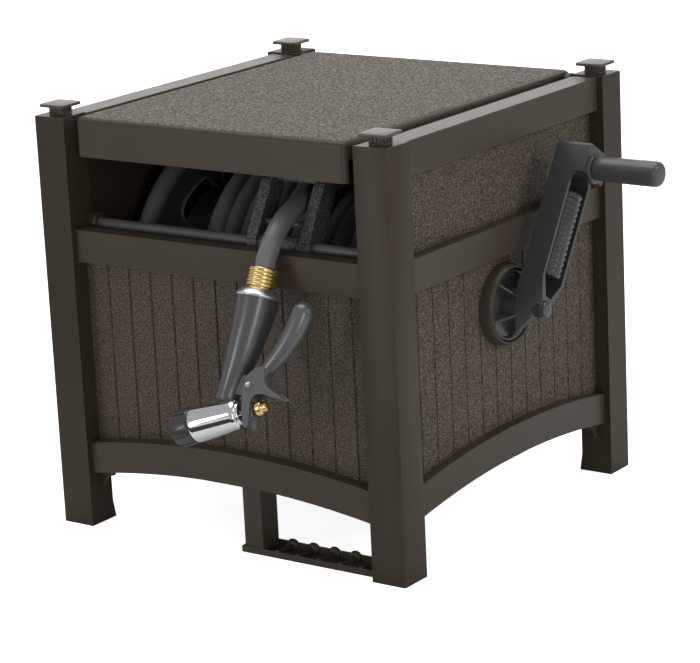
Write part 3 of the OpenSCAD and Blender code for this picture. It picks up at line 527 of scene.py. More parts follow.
def shift(offset):
    bpy.ops.transform.translate(value=Vector(offset) * MM)


def swell(factors, centre):
    bpy.ops.transform.resize(value=factors, center_override=Vector(centre) * MM)


def push_out(offset):
    bpy.ops.mesh.extrude_region_move(TRANSFORM_OT_translate={"value": Vector(offset) * MM})


def inset(width):
    bpy.ops.mesh.inset(thickness=width * MM, depth=0)


def round_off(width, segments):
    """Rounds the edges selected in edit mode."""
    bpy.ops.mesh.bevel(offset=width * MM, segments=segments)


def mend(piece):
    """Merges doubles and turns every face outwards."""
    edit(piece)
    bpy.ops.mesh.select_all(action="SELECT")
    bpy.ops.mesh.remove_doubles(threshold=0.00001)
    bpy.ops.mesh.normals_make_consistent(inside=False)
    done()


def trace(name, points):
    """Outline drawn by extruding one vertex from point to point; it stays in edit mode."""
    let_go()
    bpy.ops.mesh.primitive_plane_add(size=MM, location=Vector(points[0]) * MM)
    piece = name_new(name)
    apply_place(piece)
    edit(piece)
    bpy.ops.mesh.select_all(action="SELECT")
    bpy.ops.mesh.merge(type="CENTER")
    for start, end in zip(points, points[1:]):
        step = (Vector(end) - Vector(start)) * MM
        bpy.ops.mesh.extrude_vertices_move(TRANSFORM_OT_translate={"value": step})
    return piece


def plate(name, outline, depth):
    """Traced outline filled and extruded along the depth vector."""
    piece = trace(name, outline)
    bpy.ops.mesh.select_all(action="SELECT")
    bpy.ops.mesh.edge_face_add()
    push_out(depth)
    done()
    mend(piece)
    return piece


def side_plate(name, x, outline, depth):
    """Plate whose outline of (y, z) points stands square to X."""
    return plate(name, [(x, y, z) for y, z in outline], (depth, 0, 0))


def turned(name, profile, steps):
    """Profile of (radius, x) points spun right round the X axis."""
    piece = trace(name, [(x, 0, r) for r, x in profile])
    bpy.ops.mesh.select_all(action="SELECT")
    bpy.ops.mesh.spin(steps=steps, angle=2 * math.pi, center=(0, 0, 0), axis=(1, 0, 0))
    done()
    mend(piece)
    return piece


def cylinder(name, radius, x0, x1, steps):
    return turned(name, [(0, x0), (radius, x0), (radius, x1), (0, x1)], steps)


def place(piece, matrix):
    """Puts a piece drawn at the origin into its own frame."""
    piece.matrix_world = matrix
    apply_place(piece)
    return piece


def finish_with(piece, kind, **settings):
    take(piece)
    bpy.ops.object.modifier_add(type=kind)
    modifier = piece.modifiers[-1]
    for key, value in settings.items():
        setattr(modifier, key, value)
    bpy.ops.object.modifier_apply(modifier=modifier.name)


def smooth_by_angle(piece, degrees=38):
    take(piece)
    bpy.ops.object.shade_smooth_by_angle(angle=math.radians(degrees))
    return piece


def even_shading(piece):
    """Keeps broad flat faces flat next to their rounded edges."""
    finish_with(piece, "WEIGHTED_NORMAL", keep_sharp=True)


def soften(piece, width, segments=2, limit=35):
    """Rounds every edge sharper than the limit."""
    finish_with(piece, "BEVEL", width=width * MM, segments=segments, limit_method="ANGLE",
                angle_limit=math.radians(limit))
    smooth_by_angle(piece)
    even_shading(piece)
    return piece


def join(name, *pieces):
    let_go()
    for piece in pieces:
        piece.select_set(True)
    bpy.context.view_layer.objects.active = pieces[0]
    bpy.ops.object.join()
    return name_new(name)


def carve(piece, tool):
    """Cuts a tool shape out of a piece."""
    finish_with(piece, "BOOLEAN", object=tool, operation="DIFFERENCE", solver="EXACT")
    bpy.data.objects.remove(tool)


def fuse(piece, other):
    finish_with(piece, "BOOLEAN", object=other, operation="UNION", solver="EXACT")
    bpy.data.objects.remove(other)


def nudge(piece, spot, by):
    """Moves the vertices at one spot, in edit mode."""
    pick(piece, "VERT", lambda v: (v - Vector(spot)).length < 0.3)
    shift(by)


def share_out(piece, base, other, test):
    """Gives the piece one finish, and another one to the faces that pass the test."""
    piece.data.materials.clear()
    piece.data.materials.append(base)
    piece.data.materials.append(other)
    edit(piece)
    pick(piece, "FACE", test)
    piece.active_material_index = 1
    bpy.ops.object.material_slot_assign()
    done()


def circle(sides, radius, frame):
    let_go()
    bpy.ops.mesh.primitive_circle_add(vertices=sides, radius=radius * MM)
    return place(bpy.context.object, frame)


def pick_range(piece, start, end):
    """Selects the vertices from one number up to another, in edit mode."""
    bpy.ops.mesh.select_mode(type="VERT")
    bpy.ops.mesh.select_all(action="DESELECT")
    shape = bmesh.from_edit_mesh(piece.data)
    shape.verts.ensure_lookup_table()
    show_chosen(piece, shape, shape.verts[start:end])


def skin_over(name, circles, rounds):
    """Skin bridged along a row of equal circles, closed at both ends and subdivided."""
    sides = len(circles[0].data.vertices)
    last = (len(circles) - 1) * sides
    piece = join(name, *circles)
    edit(piece)
    for start in range(0, last, sides):
        pick_range(piece, start, start + 2 * sides)
        bpy.ops.mesh.bridge_edge_loops()
    for start in (0, last):
        pick_range(piece, start, start + sides)
        bpy.ops.mesh.edge_face_add()
    done()
    mend(piece)
    finish_with(piece, "SUBSURF", levels=rounds)
    return smooth_by_angle(piece, 60)


def copy_of(piece, name, matrix):
    """Copy with its own mesh, moved by a matrix and turned the right way out."""
    twin = piece.copy()
    twin.data = piece.data.copy()
    twin.name = name
    twin.data.name = name
    bpy.context.scene.collection.objects.link(twin)
    place(twin, matrix)
    mend(twin)
    return twin


def seat(piece, body, finish, slot_name, *stands_for):
    """Gives a finished piece its material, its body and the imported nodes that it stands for."""
    paint(piece, finish)
    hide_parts(*stands_for)
    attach(piece, body)


MIRROR_X = Matrix.Scale(-1, 4, (1, 0, 0))
MIRROR_Y = Matrix.Scale(-1, 4, (0, 1, 0))
BOX_HALF = 255
BAY_HALF = 211
SHEET = 4
POST_TOP = 510
POST_X = 46
POST_Y = 45
POST_FOOT = 22
POST_RELIEF = 3


# Posts and caps

def model_post():
    """Front left post: a block with a plain foot, relieved above it on its two inner faces."""
    low = -BOX_HALF
    post = block("corner_post_front_left", (low, low, 0), (low + POST_X, low + POST_Y, POST_TOP))
    edge = low + POST_RELIEF
    edit(post)
    cut((0, 0, POST_FOOT), (0, 0, 1))
    cut((0, edge, 0), (0, 1, 0))
    cut((edge, 0, 0), (1, 0, 0))
    pick(post, "FACE", lambda c, n: n.x > 0.9 and c.z > POST_FOOT and c.y > edge)
    shift((-2, 0, 0))
    pick(post, "FACE", lambda c, n: n.y > 0.9 and c.z > POST_FOOT and c.x > edge)
    shift((0, -2, 0))
    pick(post, "EDGE", lambda a, b: max(a.x, b.x, a.y, b.y) < low + 0.1)
    round_off(2.5, 5)
    done()
    mend(post)
    return soften(post, 0.7)


CAP_X = -BOX_HALF + POST_X / 2
CAP_Y = -BOX_HALF + POST_Y / 2
CAP_NECK = 9.75
CAP_HALF = 18.5
CAP_PLATE_Z = 520


def model_cap():
    """Square cap: round foot, fluted neck, and a thin plate with a low crown."""
    cap = block("post_cap_front_left", (CAP_X - CAP_NECK, CAP_Y - CAP_NECK, POST_TOP),
                (CAP_X + CAP_NECK, CAP_Y + CAP_NECK, CAP_PLATE_Z))
    edit(cap)
    pick(cap, "FACE", lambda c, n: n.z > 0.9)
    push_out((0, 0, 0))
    swell((CAP_HALF / CAP_NECK, CAP_HALF / CAP_NECK, 1), (CAP_X, CAP_Y, CAP_PLATE_Z))
    push_out((0, 0, 3.4))
    inset(5)
    shift((0, 0, 0.7))
    inset(6)
    shift((0, 0, 0.4))
    pick(cap, "EDGE", lambda a, b: abs(a.z - b.z) > 3 and min(a.z, b.z) > CAP_PLATE_Z - 1
         and (a - b).xy.length < 0.1)
    round_off(4.5, 5)
    done()
    on_post = moved(CAP_X, CAP_Y, POST_TOP)
    foot = turned("cap_foot", [(0, 0), (13.2, 0), (13.2, 1.2), (12.4, 2), (0, 2)], 32)
    place(foot, on_post @ rolled(-90, "Y"))
    flutes = []
    for side in range(4):
        for x in (-5.4, 0, 5.4):
            flute = block("flute", (x - 1.3, -10.8, 2), (x + 1.3, -9, 9.6))
            flutes.append(place(flute, on_post @ rolled(90 * side, "Z")))
    return soften(join("post_cap_front_left", cap, foot, *flutes), 0.5)


def model_corners():
    post = model_post()
    cap = model_cap()
    twins = [("front_right", MIRROR_X), ("rear_left", MIRROR_Y), ("rear_right", MIRROR_X @ MIRROR_Y)]
    for corner, matrix in twins:
        twin = smooth_by_angle(copy_of(post, "corner_post_" + corner, matrix))
        seat(twin, "box", POST_RESIN_PAINTED_SHADE, "resin", corner + "_post")
        twin = smooth_by_angle(copy_of(cap, "post_cap_" + corner, matrix))
        seat(twin, "box", CAP_RESIN_PAINTED_LIGHT, "resin", "post_caps")
    seat(post, "box", POST_RESIN_PAINTED_SHADE, "resin", "front_left_post")
    seat(cap, "box", CAP_RESIN_PAINTED_LIGHT, "resin", "post_caps")


# Walls, drawn as the front wall and turned to their sides

ARCH_END = 66
ARCH_RISE = 18
ARCH_MID = ARCH_END + ARCH_RISE
ARCH_DEPTH = 39
ARCH_STEPS = 28
BRACKET_LOW = 45
BRACKET_TOP = 76
BRACKET_WIDE = 20
BRACKET_R = 16
BRACKET_DEEP = 6
BEAD_TOP = 333
BEAD_PITCH = 32.5
GROOVE_HALF = 1.6
GROOVE_DEEP = 3
MID_TOP = 373


def arch_line(half, lift):
    """Points (x, z) along the arch from left to right, raised by a lift."""
    radius = (half * half + ARCH_RISE * ARCH_RISE) / (2 * ARCH_RISE)
    line = []
    for i in range(ARCH_STEPS + 1):
        x = half * (2 * i / ARCH_STEPS - 1)
        line.append((x, ARCH_MID - radius + math.sqrt((radius + lift) ** 2 - x * x)))
    return line


def model_arch_rail(name, half, face, back):
    """Arched bottom rail with a small bracket behind each end."""
    outline = arch_line(half, 0) + arch_line(half, ARCH_DEPTH)[::-1]
    rail = plate(name, [(x, -face, z) for x, z in outline], (0, face - back, 0))
    inner = half - BRACKET_WIDE
    bracket = [(half, BRACKET_LOW), *arc(inner, BRACKET_LOW, [11.25 * i for i in range(9)], BRACKET_R),
               (inner, BRACKET_TOP), (half, BRACKET_TOP)]
    for side in (-1, 1):
        outline = [(side * x, -back - BRACKET_DEEP, z) for x, z in bracket]
        rail = join(name, rail, plate("bracket", outline, (0, BRACKET_DEEP, 0)))
    return soften(rail, 0.8)


def model_bar(name, half, face, back, z0, z1, soft=1.1):
    return soften(block(name, (-half, -face, z0), (half, -back, z1)), soft, 3)


def model_beadboard(name, half, field):
    """Grooved field: a slab cut three times at each joint, the middle cut pressed in as a V."""
    board = block(name, (-half, -field, ARCH_END + 10), (half, -field + SHEET, BEAD_TOP))
    edit(board)
    joints = [(i + 0.5) * BEAD_PITCH for i in range(-6, 6)]
    for x in joints:
        for side in (-GROOVE_HALF, 0, GROOVE_HALF):
            cut((x + side, 0, 0), (1, 0, 0))
    pick(board, "VERT", lambda v: v.y < 0.1 - field and min(abs(v.x - x) for x in joints) < 0.2)
    shift((0, GROOVE_DEEP, 0))
    done()
    return soften(board, 0.5, 2, 30)


def model_upper_field(name, half, field):
    """Plain field of a side wall, with a slightly raised foot on the middle rail."""
    upper = block(name, (-half, -field, MID_TOP), (half, -field + SHEET, 490))
    foot_top = MID_TOP + 4
    edit(upper)
    cut((0, 0, foot_top), (0, 0, 1))
    pick(upper, "FACE", lambda c, n: n.y < -0.9 and c.z < foot_top)
    bpy.ops.mesh.extrude_region_shrink_fatten(TRANSFORM_OT_shrink_fatten={"value": -1.4 * MM})
    done()
    return soften(upper, 0.4, 2, 60)


def model_wall(side):
    turn = {"front": 0, "right": 90, "rear": 180, "left": -90}[side]
    at_side = side in ("left", "right")
    half = BAY_HALF + 1 if at_side else BAY_HALF
    face = BOX_HALF - 8
    field = BOX_HALF - 21 if at_side else BOX_HALF - 26
    rail_back = field - 3
    arch_rail = model_arch_rail(side + "_arch_rail", half, face, rail_back)
    middle_rail = model_bar(side + "_middle_rail", half, face, field - SHEET, BEAD_TOP, MID_TOP)
    board = model_beadboard(side + "_beadboard", half, field)
    pieces = [arch_rail, middle_rail, board]
    if at_side:
        pieces += [model_bar(side + "_top_rail", half, face, face - 34, 467, 508, 1.6),
                   model_upper_field(side + "_upper_field", half, field),
                   model_bar(side + "_lid_ledge", half - 6, face - 33, face - 61, 486, 490, 0.6)]
    if side == "rear":
        pieces += [model_bar("rear_upper_field", half, field, field - SHEET, MID_TOP, 472, 0.4),
                   model_bar("rear_top_rail", half, face, rail_back, 441, 482, 1.2)]
    for piece in pieces:
        if piece.name.endswith(("_beadboard", "_upper_field")):
            share_out(piece, RESIN, STIPPLE, lambda c, n: n.y < 0.5)
        place(piece, rolled(turn, "Z"))
    if at_side:
        hole = cylinder("axle_hole", 17, 200, 260, 48)
        carve(board, place(hole, on_axle() @ (MIRROR_X if side == "left" else Matrix.Identity(4))))
    for piece in pieces:
        smooth_by_angle(piece)
        even_shading(piece)
        seat(piece, "box", RESIN, "panel", side + "_panel")


# Lid

LID_HALF = 195.5
LID_FRONT = -251
LID_BACK = 231
LID_TOP = 512
LIP_LOW = 464.5
SIDE_SKIRT_LOW = 490.3
REAR_SKIRT_LOW = 486
HINGE_Y = 222
HINGE_Z = 500


def model_lid():
    """Lid shell: rounded block, hollowed from below, with a deep front lip and shallow skirts."""
    lid = block("lid_shell", (-LID_HALF, LID_FRONT, LIP_LOW), (LID_HALF, LID_BACK, LID_TOP))
    edit(lid)
    pick(lid, "EDGE", lambda a, b: max(a.y, b.y) < LID_FRONT + 1 and abs(a.z - b.z) > 10)
    round_off(8, 5)
    pick(lid, "EDGE", lambda a, b: min(a.z, b.z) > LID_TOP - 1)
    round_off(7.5, 6)
    done()
    inner_front = LID_FRONT + SHEET
    hollow = block("hollow", (-LID_HALF + SHEET, inner_front, 440),
                   (LID_HALF - SHEET, LID_BACK - SHEET, LID_TOP - SHEET))
    carve(lid, soften(hollow, 4, 3))
    carve(lid, block("side_skirts", (-200, inner_front + 3, 440), (200, 226, SIDE_SKIRT_LOW)))
    carve(lid, block("rear_skirt", (-200, inner_front + 3, 440), (200, 240, REAR_SKIRT_LOW)))
    parts = []
    for side in (-1, 1):
        barrel = turned("hinge_barrel", [
            (4.05, 187.5), (8, 187.5), (8, 195.4), (4.05, 195.4), (4.05, 187.5)], 32)
        place(barrel, moved(0, HINGE_Y, HINGE_Z) @ Matrix.Scale(side, 4, (1, 0, 0)))
        mend(barrel)
        web = block("hinge_web", (191.5 * side - 3, HINGE_Y - 4, 504.3), (191.5 * side + 3, HINGE_Y + 4, 509))
        parts += [barrel, web]
    lid = join("lid_shell", lid, *parts)
    smooth_by_angle(lid, 40)
    even_shading(lid)
    share_out(lid, RESIN, LID_STIPPLE, lambda c, n: n.z > 0.9 and c.z > LID_TOP - 1)
    seat(lid, "lid", RESIN, "stucco", "lid")


# Reel flanges, of which the left one is seen through the slot

FLANGE_BACK = -180
FLANGE_FACE = -176
FLANGE_R = 160
OPENINGS = 6
OPENING = (97, 130, 17.5)
OPENING_EDGE = (94.6, 132.4, 18.8)
OPENING_TURN = -2
RIB_TURN = 32


def kidney(name, r0, r1, half, x0, x1):
    """Kidney-shaped prism between two radii, with fully round ends."""
    middle = (r0 + r1) / 2
    round_r = (r1 - r0) / 2
    bend = half - math.degrees(math.asin(round_r / middle))
    outline = []
    for r, end, start in ((r1, bend, bend), (r0, -bend, 180 - bend)):
        outline += arc(0, 0, [end * i / 3 for i in range(-3, 4)], r)
        y, z = arc(0, 0, [end], middle)[0]
        outline += arc(y, z, [start + 22.5 * i for i in range(1, 8)], round_r)
    return side_plate(name, x0, outline, x1 - x0)


def model_flanges():
    """Round-rimmed flange with kidney openings, their raised edges, and ribs between them, and its twin."""
    disc = turned("left_flange_disc", [(16, -192), (28, -192), (28, FLANGE_BACK), (FLANGE_R, FLANGE_BACK),
                                       (FLANGE_R, FLANGE_FACE), (16, FLANGE_FACE), (16, -192)], 96)
    turns = [rolled(360 / OPENINGS * i + OPENING_TURN, "X") for i in range(OPENINGS)]
    for turn in turns:
        carve(disc, place(kidney("opening", *OPENING, -190, -170), turn))
    smooth_by_angle(disc, 30)
    rim = smooth_by_angle(turned("flange_rim", arc(168.5, -184, range(0, 361, 20), 11.5, 10), 96), 60)
    edge = kidney("opening_edge", *OPENING_EDGE, FLANGE_FACE - 2, -172.6)
    carve(edge, kidney("opening", *OPENING, -190, -160))
    soften(edge, 0.8, 3, 50)
    rib = soften(block("flange_rib", (FLANGE_FACE - 2, 26, -1), (-172.8, FLANGE_R, 1)), 1)
    place(rib, rolled(RIB_TURN, "X"))
    parts = [rim]
    for turn in turns:
        parts += [copy_of(edge, "opening_edge", turn), copy_of(rib, "flange_rib", turn)]
    bpy.data.objects.remove(edge)
    bpy.data.objects.remove(rib)
    flange = join("left_reel_flange", disc, *parts)
    # The rim, the raised opening edges and the ribs get the paler charcoal: painted highlight, on the rim
    # together with the hose's colour.
    share_out(flange, REEL_BLACK, REEL_RIM_AND_PAINTED_HIGHLIGHT,
              lambda c, n: math.hypot(c.y, c.z) > FLANGE_R - 1.5 or c.x > FLANGE_FACE + 0.1)
    smooth_by_angle(place(flange, on_axle()), 40)
    twin = copy_of(flange, "right_reel_flange", moved(-1, 0, 0) @ MIRROR_X)
    seat(flange, "reel", REEL_BLACK, "black_resin", "left_flange")
    seat(twin, "reel", REEL_BLACK, "black_resin", "right_flange")


# Crank, drawn upright on the X axis

DISC_X = 240
ARM_X0 = 264
ARM_X1 = 294
ARM_HALF = 25
HEAD_X1 = 309
HEAD_Z = 202.5
HEAD_LOW = HEAD_Z - 36
CRANK_LEN = 179.5
CRANK_TURN = -33
CORE_X0 = 266
CORE_X = 283
CORE_R = 14.6
CORE_LOW = 40
CORE_TOP = 145
CORE_PITCH = 7
GRIP_LEN = 86


def on_axle():
    return Matrix.Translation((0, 0, AXLE_Z))


def crank_frame():
    return on_axle() @ rolled(CRANK_TURN, "X")


def model_bearing_ring():
    ring = turned("crank_bearing_ring", [
        (11.05, 222), (16.95, 222), (16.95, 234), (50, 234), (49.6, 240), (48.6, 245), (47.4, 248.6),
        (46, 250), (44.6, 249.6), (44, 248), (44, 238), (11.05, 238), (11.05, 222)], 96)
    smooth_by_angle(place(ring, on_axle()), 40)
    seat(ring, "box", RESIN, "resin", "crank_ring")


def model_arm_body():
    """Arm: traced outline, extruded, tapered at its foot, with a taller chamfered head block."""
    h = ARM_HALF
    outline = [(-h, HEAD_Z - 30), (-h, 10), (-1, -34), (1, -34), (h, 10), (h, HEAD_Z - 30)]
    arm = side_plate("crank_arm_body", ARM_X0, outline, ARM_X1 - ARM_X0)
    edit(arm)
    for side in (-1, 1):
        nudge(arm, (ARM_X1, side * h, 10), (0, 0, 23))
        nudge(arm, (ARM_X1, side, -34), (0, side * 8, 37))
    done()
    head = [(-h, HEAD_LOW), (h, HEAD_LOW), (h, HEAD_Z - 13), (h - 13, HEAD_Z), (-h + 3, HEAD_Z),
            (-h, HEAD_Z - 4)]
    fuse(arm, side_plate("head_block", ARM_X0, head, HEAD_X1 - ARM_X0))
    c = h - SHEET
    mouth = [(-c, 36), (-6, 14), (6, 14), (c, 36), (c, HEAD_LOW - 8), (c - 2.5, HEAD_LOW - 2.5),
             (c - 8, HEAD_LOW), (-c + 8, HEAD_LOW), (-c + 2.5, HEAD_LOW - 2.5), (-c, HEAD_LOW - 8)]
    carve(arm, side_plate("channel", ARM_X0 + SHEET, mouth, 50))
    return soften(arm, 1.5, 4, 40)


def model_ribbed_core():
    """Ribbed barrel that stands in the channel, on its web."""
    profile = [(0, CORE_LOW)]
    for z in range(CORE_LOW, CORE_TOP, CORE_PITCH):
        profile += [(CORE_R, z), (14.8, z + 1.5), (15.7, z + 2.1), (16.3, z + 2.9), (16.3, z + 5),
                    (15.7, z + 5.8), (14.8, z + 6.4)]
    profile += [(CORE_R, CORE_TOP), (0, CORE_TOP)]
    core = turned("ribbed_core", profile, 40)
    place(core, moved(CORE_X, 0, 0) @ rolled(-90, "Y"))
    edit(core)
    cut((CORE_X0, 0, 0), (1, 0, 0), clear_inner=True)
    done()
    web = block("core_web", (CORE_X0, -11, CORE_LOW + 1), (CORE_X, 11, CORE_TOP - 1))
    return [smooth_by_angle(core, 50), soften(web, 0.6)]


def model_crank_disc():
    """Dished disc with five ribs, and the boss in the arm's foot."""
    hub_x = ARM_X0 + 1
    disc = turned("crank_disc", [
        (0, DISC_X), (42.5, DISC_X), (42.5, DISC_X + 7), (42, DISC_X + 8), (40.4, DISC_X + 8),
        (39.6, DISC_X + 7.4), (37.5, DISC_X + 3), (21, DISC_X + 4), (19, hub_x), (0, hub_x)], 80)
    smooth_by_angle(disc, 30)
    ribs = []
    for i in range(5):
        outline = [(DISC_X + 2, 10), (DISC_X + 2, 39.5), (DISC_X + 6, 39.5), (hub_x, 19), (hub_x, 10)]
        rib = plate("disc_rib", [(x, -1.5, z) for x, z in outline], (0, 3, 0))
        ribs.append(place(soften(rib, 0.6), rolled(72 * i, "X")))
    boss = turned("crank_boss", [(0, hub_x), (11, hub_x), (11, ARM_X1 - 1), (10, ARM_X1), (0, ARM_X1)], 40)
    return [disc, boss, *ribs]


def model_head_collar():
    collar = turned("head_collar", [
        (0, HEAD_X1 - 1), (18.5, HEAD_X1 - 1), (18.3, HEAD_X1 + 0.4), (17.6, HEAD_X1 + 1.4),
        (16.5, HEAD_X1 + 2), (0, HEAD_X1 + 2)], 48)
    return place(collar, moved(0, 0, CRANK_LEN))


def model_crank():
    arm = join("crank_arm_body", model_arm_body(), *model_ribbed_core(), *model_crank_disc(),
               model_head_collar())
    smooth_by_angle(place(arm, crank_frame()))
    seat(arm, "reel", CRANK_BLACK, "black_resin", "crank_arm")
    pin = turned("crank_pin_head", [
        (0, ARM_X0 + 10), (5, ARM_X0 + 10), (5, ARM_X1 + 0.3), (10, ARM_X1 + 0.3), (10.2, ARM_X1 + 1.2),
        (9.9, ARM_X1 + 2.4), (8.6, ARM_X1 + 3.3), (6, ARM_X1 + 3.7), (0, ARM_X1 + 3.8)], 40)
    smooth_by_angle(place(pin, crank_frame()))
    seat(pin, "reel", CRANK_BLACK, "black_resin", "crank_pin")
    start = HEAD_X1 + 2.3
    end = start + GRIP_LEN
    grip = turned("crank_grip_sleeve", [
        (0, end - 7), (4.05, end - 7), (4.05, start), (13.6, start), (14.3, start + 0.5), (14.6, start + 3),
        (15, start + 30), (15.4, start + 62), (15.4, end - 9), (15.1, end - 5), (14.2, end - 2.2),
        (12.8, end - 0.7), (10.5, end), (0, end)], 64)
    smooth_by_angle(place(grip, crank_frame() @ moved(0, 0, CRANK_LEN)), 50)
    seat(grip, "grip", GRIP_BLACK_PAINTED_LIGHT, "black_resin", "crank_grip")


# Foot step

TREAD_TOP = 8
TREAD_REAR_TOP = 10
LEG_X1 = 42
LEG_TOP = 83
TREAD_PITCH = 167 / 5.5


def model_step():
    """Leg, rimmed tread and its cross ribs with round nubs and scallops."""
    x0, x1, y0, y1 = 11, 209, -242, -205
    tray = block("step_tray", (x0, y0, 0), (x1, y1, TREAD_TOP))
    edit(tray)
    pick(tray, "FACE", lambda c, n: n.z > 0.9)
    inset(3)
    push_out((0, 0, -5.5))
    pick(tray, "VERT", lambda v: v.y > y1 - 3.1 and v.z > TREAD_TOP - 0.1)
    shift((0, 0, TREAD_REAR_TOP - TREAD_TOP))
    done()
    parts = [soften(tray, 0.9, 3)]
    for i in range(1, 6):
        x = LEG_X1 + (i - 0.35) * TREAD_PITCH
        slope = [(y0 + 1, 1), (y0 + 1, 6.6), (y0 + 6, 7), (y1 - 3, TREAD_REAR_TOP), (y1 - 1, TREAD_REAR_TOP),
                 (y1 - 1, 1)]
        rib = soften(side_plate("tread_rib", x - 1.2, slope, 2.4), 0.6)
        nub = turned("tread_nub", [
            (0, 4), (2.9, 4), (3.1, 6.6), (2.8, 8.2), (2, 9.4), (1, 10), (0, 10.1)], 20)
        smooth_by_angle(place(nub, moved(x, y0 + 2.5, 0) @ rolled(-90, "Y")), 60)
        scallop = turned("tread_scallop", [
            (0, -4), (4.6, -4), (7.2, -2.6), (8.6, -0.6), (8.8, 1), (8.2, 2.6), (0, 3)], 48)
        place(scallop, moved(x, y1 - 3, 5) @ rolled(90, "Z"))
        edit(scallop)
        cut((0, 0, 1.5), (0, 0, 1), clear_inner=True)
        done()
        smooth_by_angle(scallop, 50)
        parts += [rib, nub, scallop]
    leg = block("step_leg", (15, y0 + 2, 0), (LEG_X1, y1 - 3, LEG_TOP))
    edit(leg)
    pick(leg, "FACE", lambda c, n: n.y > 0.9)
    inset(3)
    push_out((0, -27, 0))
    done()
    step = join("foot_step_moulding", soften(leg, 1.2, 3), *parts)
    seat(step, "box", RESIN, "resin", "foot_step")


# Hose guide and rod

ROD_AT = (0, -208, 374)
ROD_R = 6.5
PLATE_X = (27, 102)
PLATE_THICK = 15
PLATE_LEN = 68
GUIDE_LEAN = 60


def model_guide():
    """Two fat leaning plates on a sleeve round the rod, tied by two bars."""
    outline = arc(0, 0, range(270, 89, -12), 12.5) + [(0, 14.5), (PLATE_LEN, 14.5)]
    outline += arc(PLATE_LEN, 1, range(80, -90, -10), 13.5) + [(PLATE_LEN, -12.5)]
    cheeks = [side_plate("cheek", x, outline, PLATE_THICK) for x in PLATE_X]
    guide = join("hose_guide_cheeks", *cheeks)
    fuse(guide, cylinder("sleeve", 10.5, 28, 116, 40))
    carve(guide, cylinder("bore", 6.8, 20, 124, 40))
    soften(guide, 1.8, 4, 40)
    bars = []
    for along, out in ((25, 3), (79, 2)):
        bars.append(place(cylinder("guide_bar", 4, 30, 114, 24), moved(0, along, out)))
    guide = join("hose_guide_cheeks", guide, *bars)
    smooth_by_angle(place(guide, moved(*ROD_AT) @ rolled(GUIDE_LEAN, "X")))
    seat(guide, "guide", GUIDE_GREY, "guide_grey", "hose_guide")


def model_rod():
    rod = smooth_by_angle(place(cylinder("guide_rod_bar", ROD_R, -BAY_HALF, BAY_HALF, 40), moved(*ROD_AT)))
    seat(rod, "box", ROD_GREY, "guide_grey", "guide_rod")


# Nozzle, drawn in its own frame: Y up the hanging nozzle, Z towards the viewer

NOZZLE_LEAN = 65
BARREL_TURN = 199.7
BARREL_AT = (12, -165, 0)
PIVOT_X = 18.6
PIVOT_Y = -134
CHEEK_IN = 6.4
CHEEK_THICK = 4
WEB_HALF = 7.4


def nozzle_frame():
    return moved(*STRAND_ROUTE[-1]) @ rolled(NOZZLE_LEAN, "X")


def barrel_frame():
    return nozzle_frame() @ moved(*BARREL_AT) @ rolled(BARREL_TURN, "Z")


def down_the_nozzle():
    """Frame for turned pieces whose profile runs up the nozzle's Y."""
    return nozzle_frame() @ rolled(90, "Z")


def model_coupling():
    """Ridged brass coupling: round rolls with tight grooves between them."""
    profile = [(0, 0.6), (16.2, 0.6)]
    for i in range(5):
        top = -i * 4.3
        profile += [(16.9, top - 0.1), (17.25, top - 0.5), (17.4, top - 1.2), (17.4, top - 2.9),
                    (17.25, top - 3.6), (16.9, top - 3.95), (16.2, top - 4.1)]
    profile += [(14, -22), (14, -29.9), (0, -29.9)]
    return smooth_by_angle(place(turned("brass_coupling", profile, 72), down_the_nozzle()), 60)


def model_collar():
    """Chrome collar: a thin flared band with a rolled edge at the top of the handle."""
    profile = [(0, -30), (14.06, -30), (14.06, -23.4), (18, -23.4), (20.6, -25), (24, -28.6), (25.6, -31),
               (25.9, -32.4), (25.4, -33.6), (24.4, -34.4), (24.2, -37.9), (0, -37.9)]
    return soften(place(turned("chrome_collar", profile, 72), down_the_nozzle()), 0.5, 3, 25)


HANDLE_RINGS = [
    (0, -33.2, 24.4), (0, -33.4, 25), (0, -36, 25), (0, -41, 24.6), (-0.3, -50, 24), (-0.8, -62, 23.1),
    (-2.7, -80, 21.4), (-4.5, -95.5, 19.8), (-6.2, -108, 18), (-8, -119, 16.3), (-10.2, -130, 14.8),
    (-12, -140, 13.8), (-13.4, -150, 13.2), (-14, -157, 13.2)]


def model_handle():
    """Soft handle: a tapering leaning grip, and the tab that carries the trigger's pin."""
    circles = [circle(28, r, moved(x, y, 0) @ rolled(90, "X")) for x, y, r in HANDLE_RINGS]
    grip = skin_over("soft_handle", circles, 2)
    tab = block("pin_tab", (PIVOT_X - 21, PIVOT_Y - 12, -6), (PIVOT_X + 5, PIVOT_Y + 12, 6))
    return place(join("soft_handle", grip, soften(tab, 1.2, 3)), nozzle_frame())


def model_barrel():
    """Chrome barrel: swelling towards the spray end, with a stepped and rounded rear."""
    profile = [(3.1, 0), (12.4, 0), (13.4, 0.8), (13.8, 2.4), (15.6, 3), (17, 4.4), (17.9, 6.6), (18.2, 9),
               (19.4, 26), (20.6, 45), (21.5, 60), (21.4, 62.6), (20.6, 64), (12, 64), (12, 76), (3.1, 76),
               (3.1, 0)]
    return soften(place(turned("chrome_barrel", profile, 80), barrel_frame()), 0.35, 2, 28)


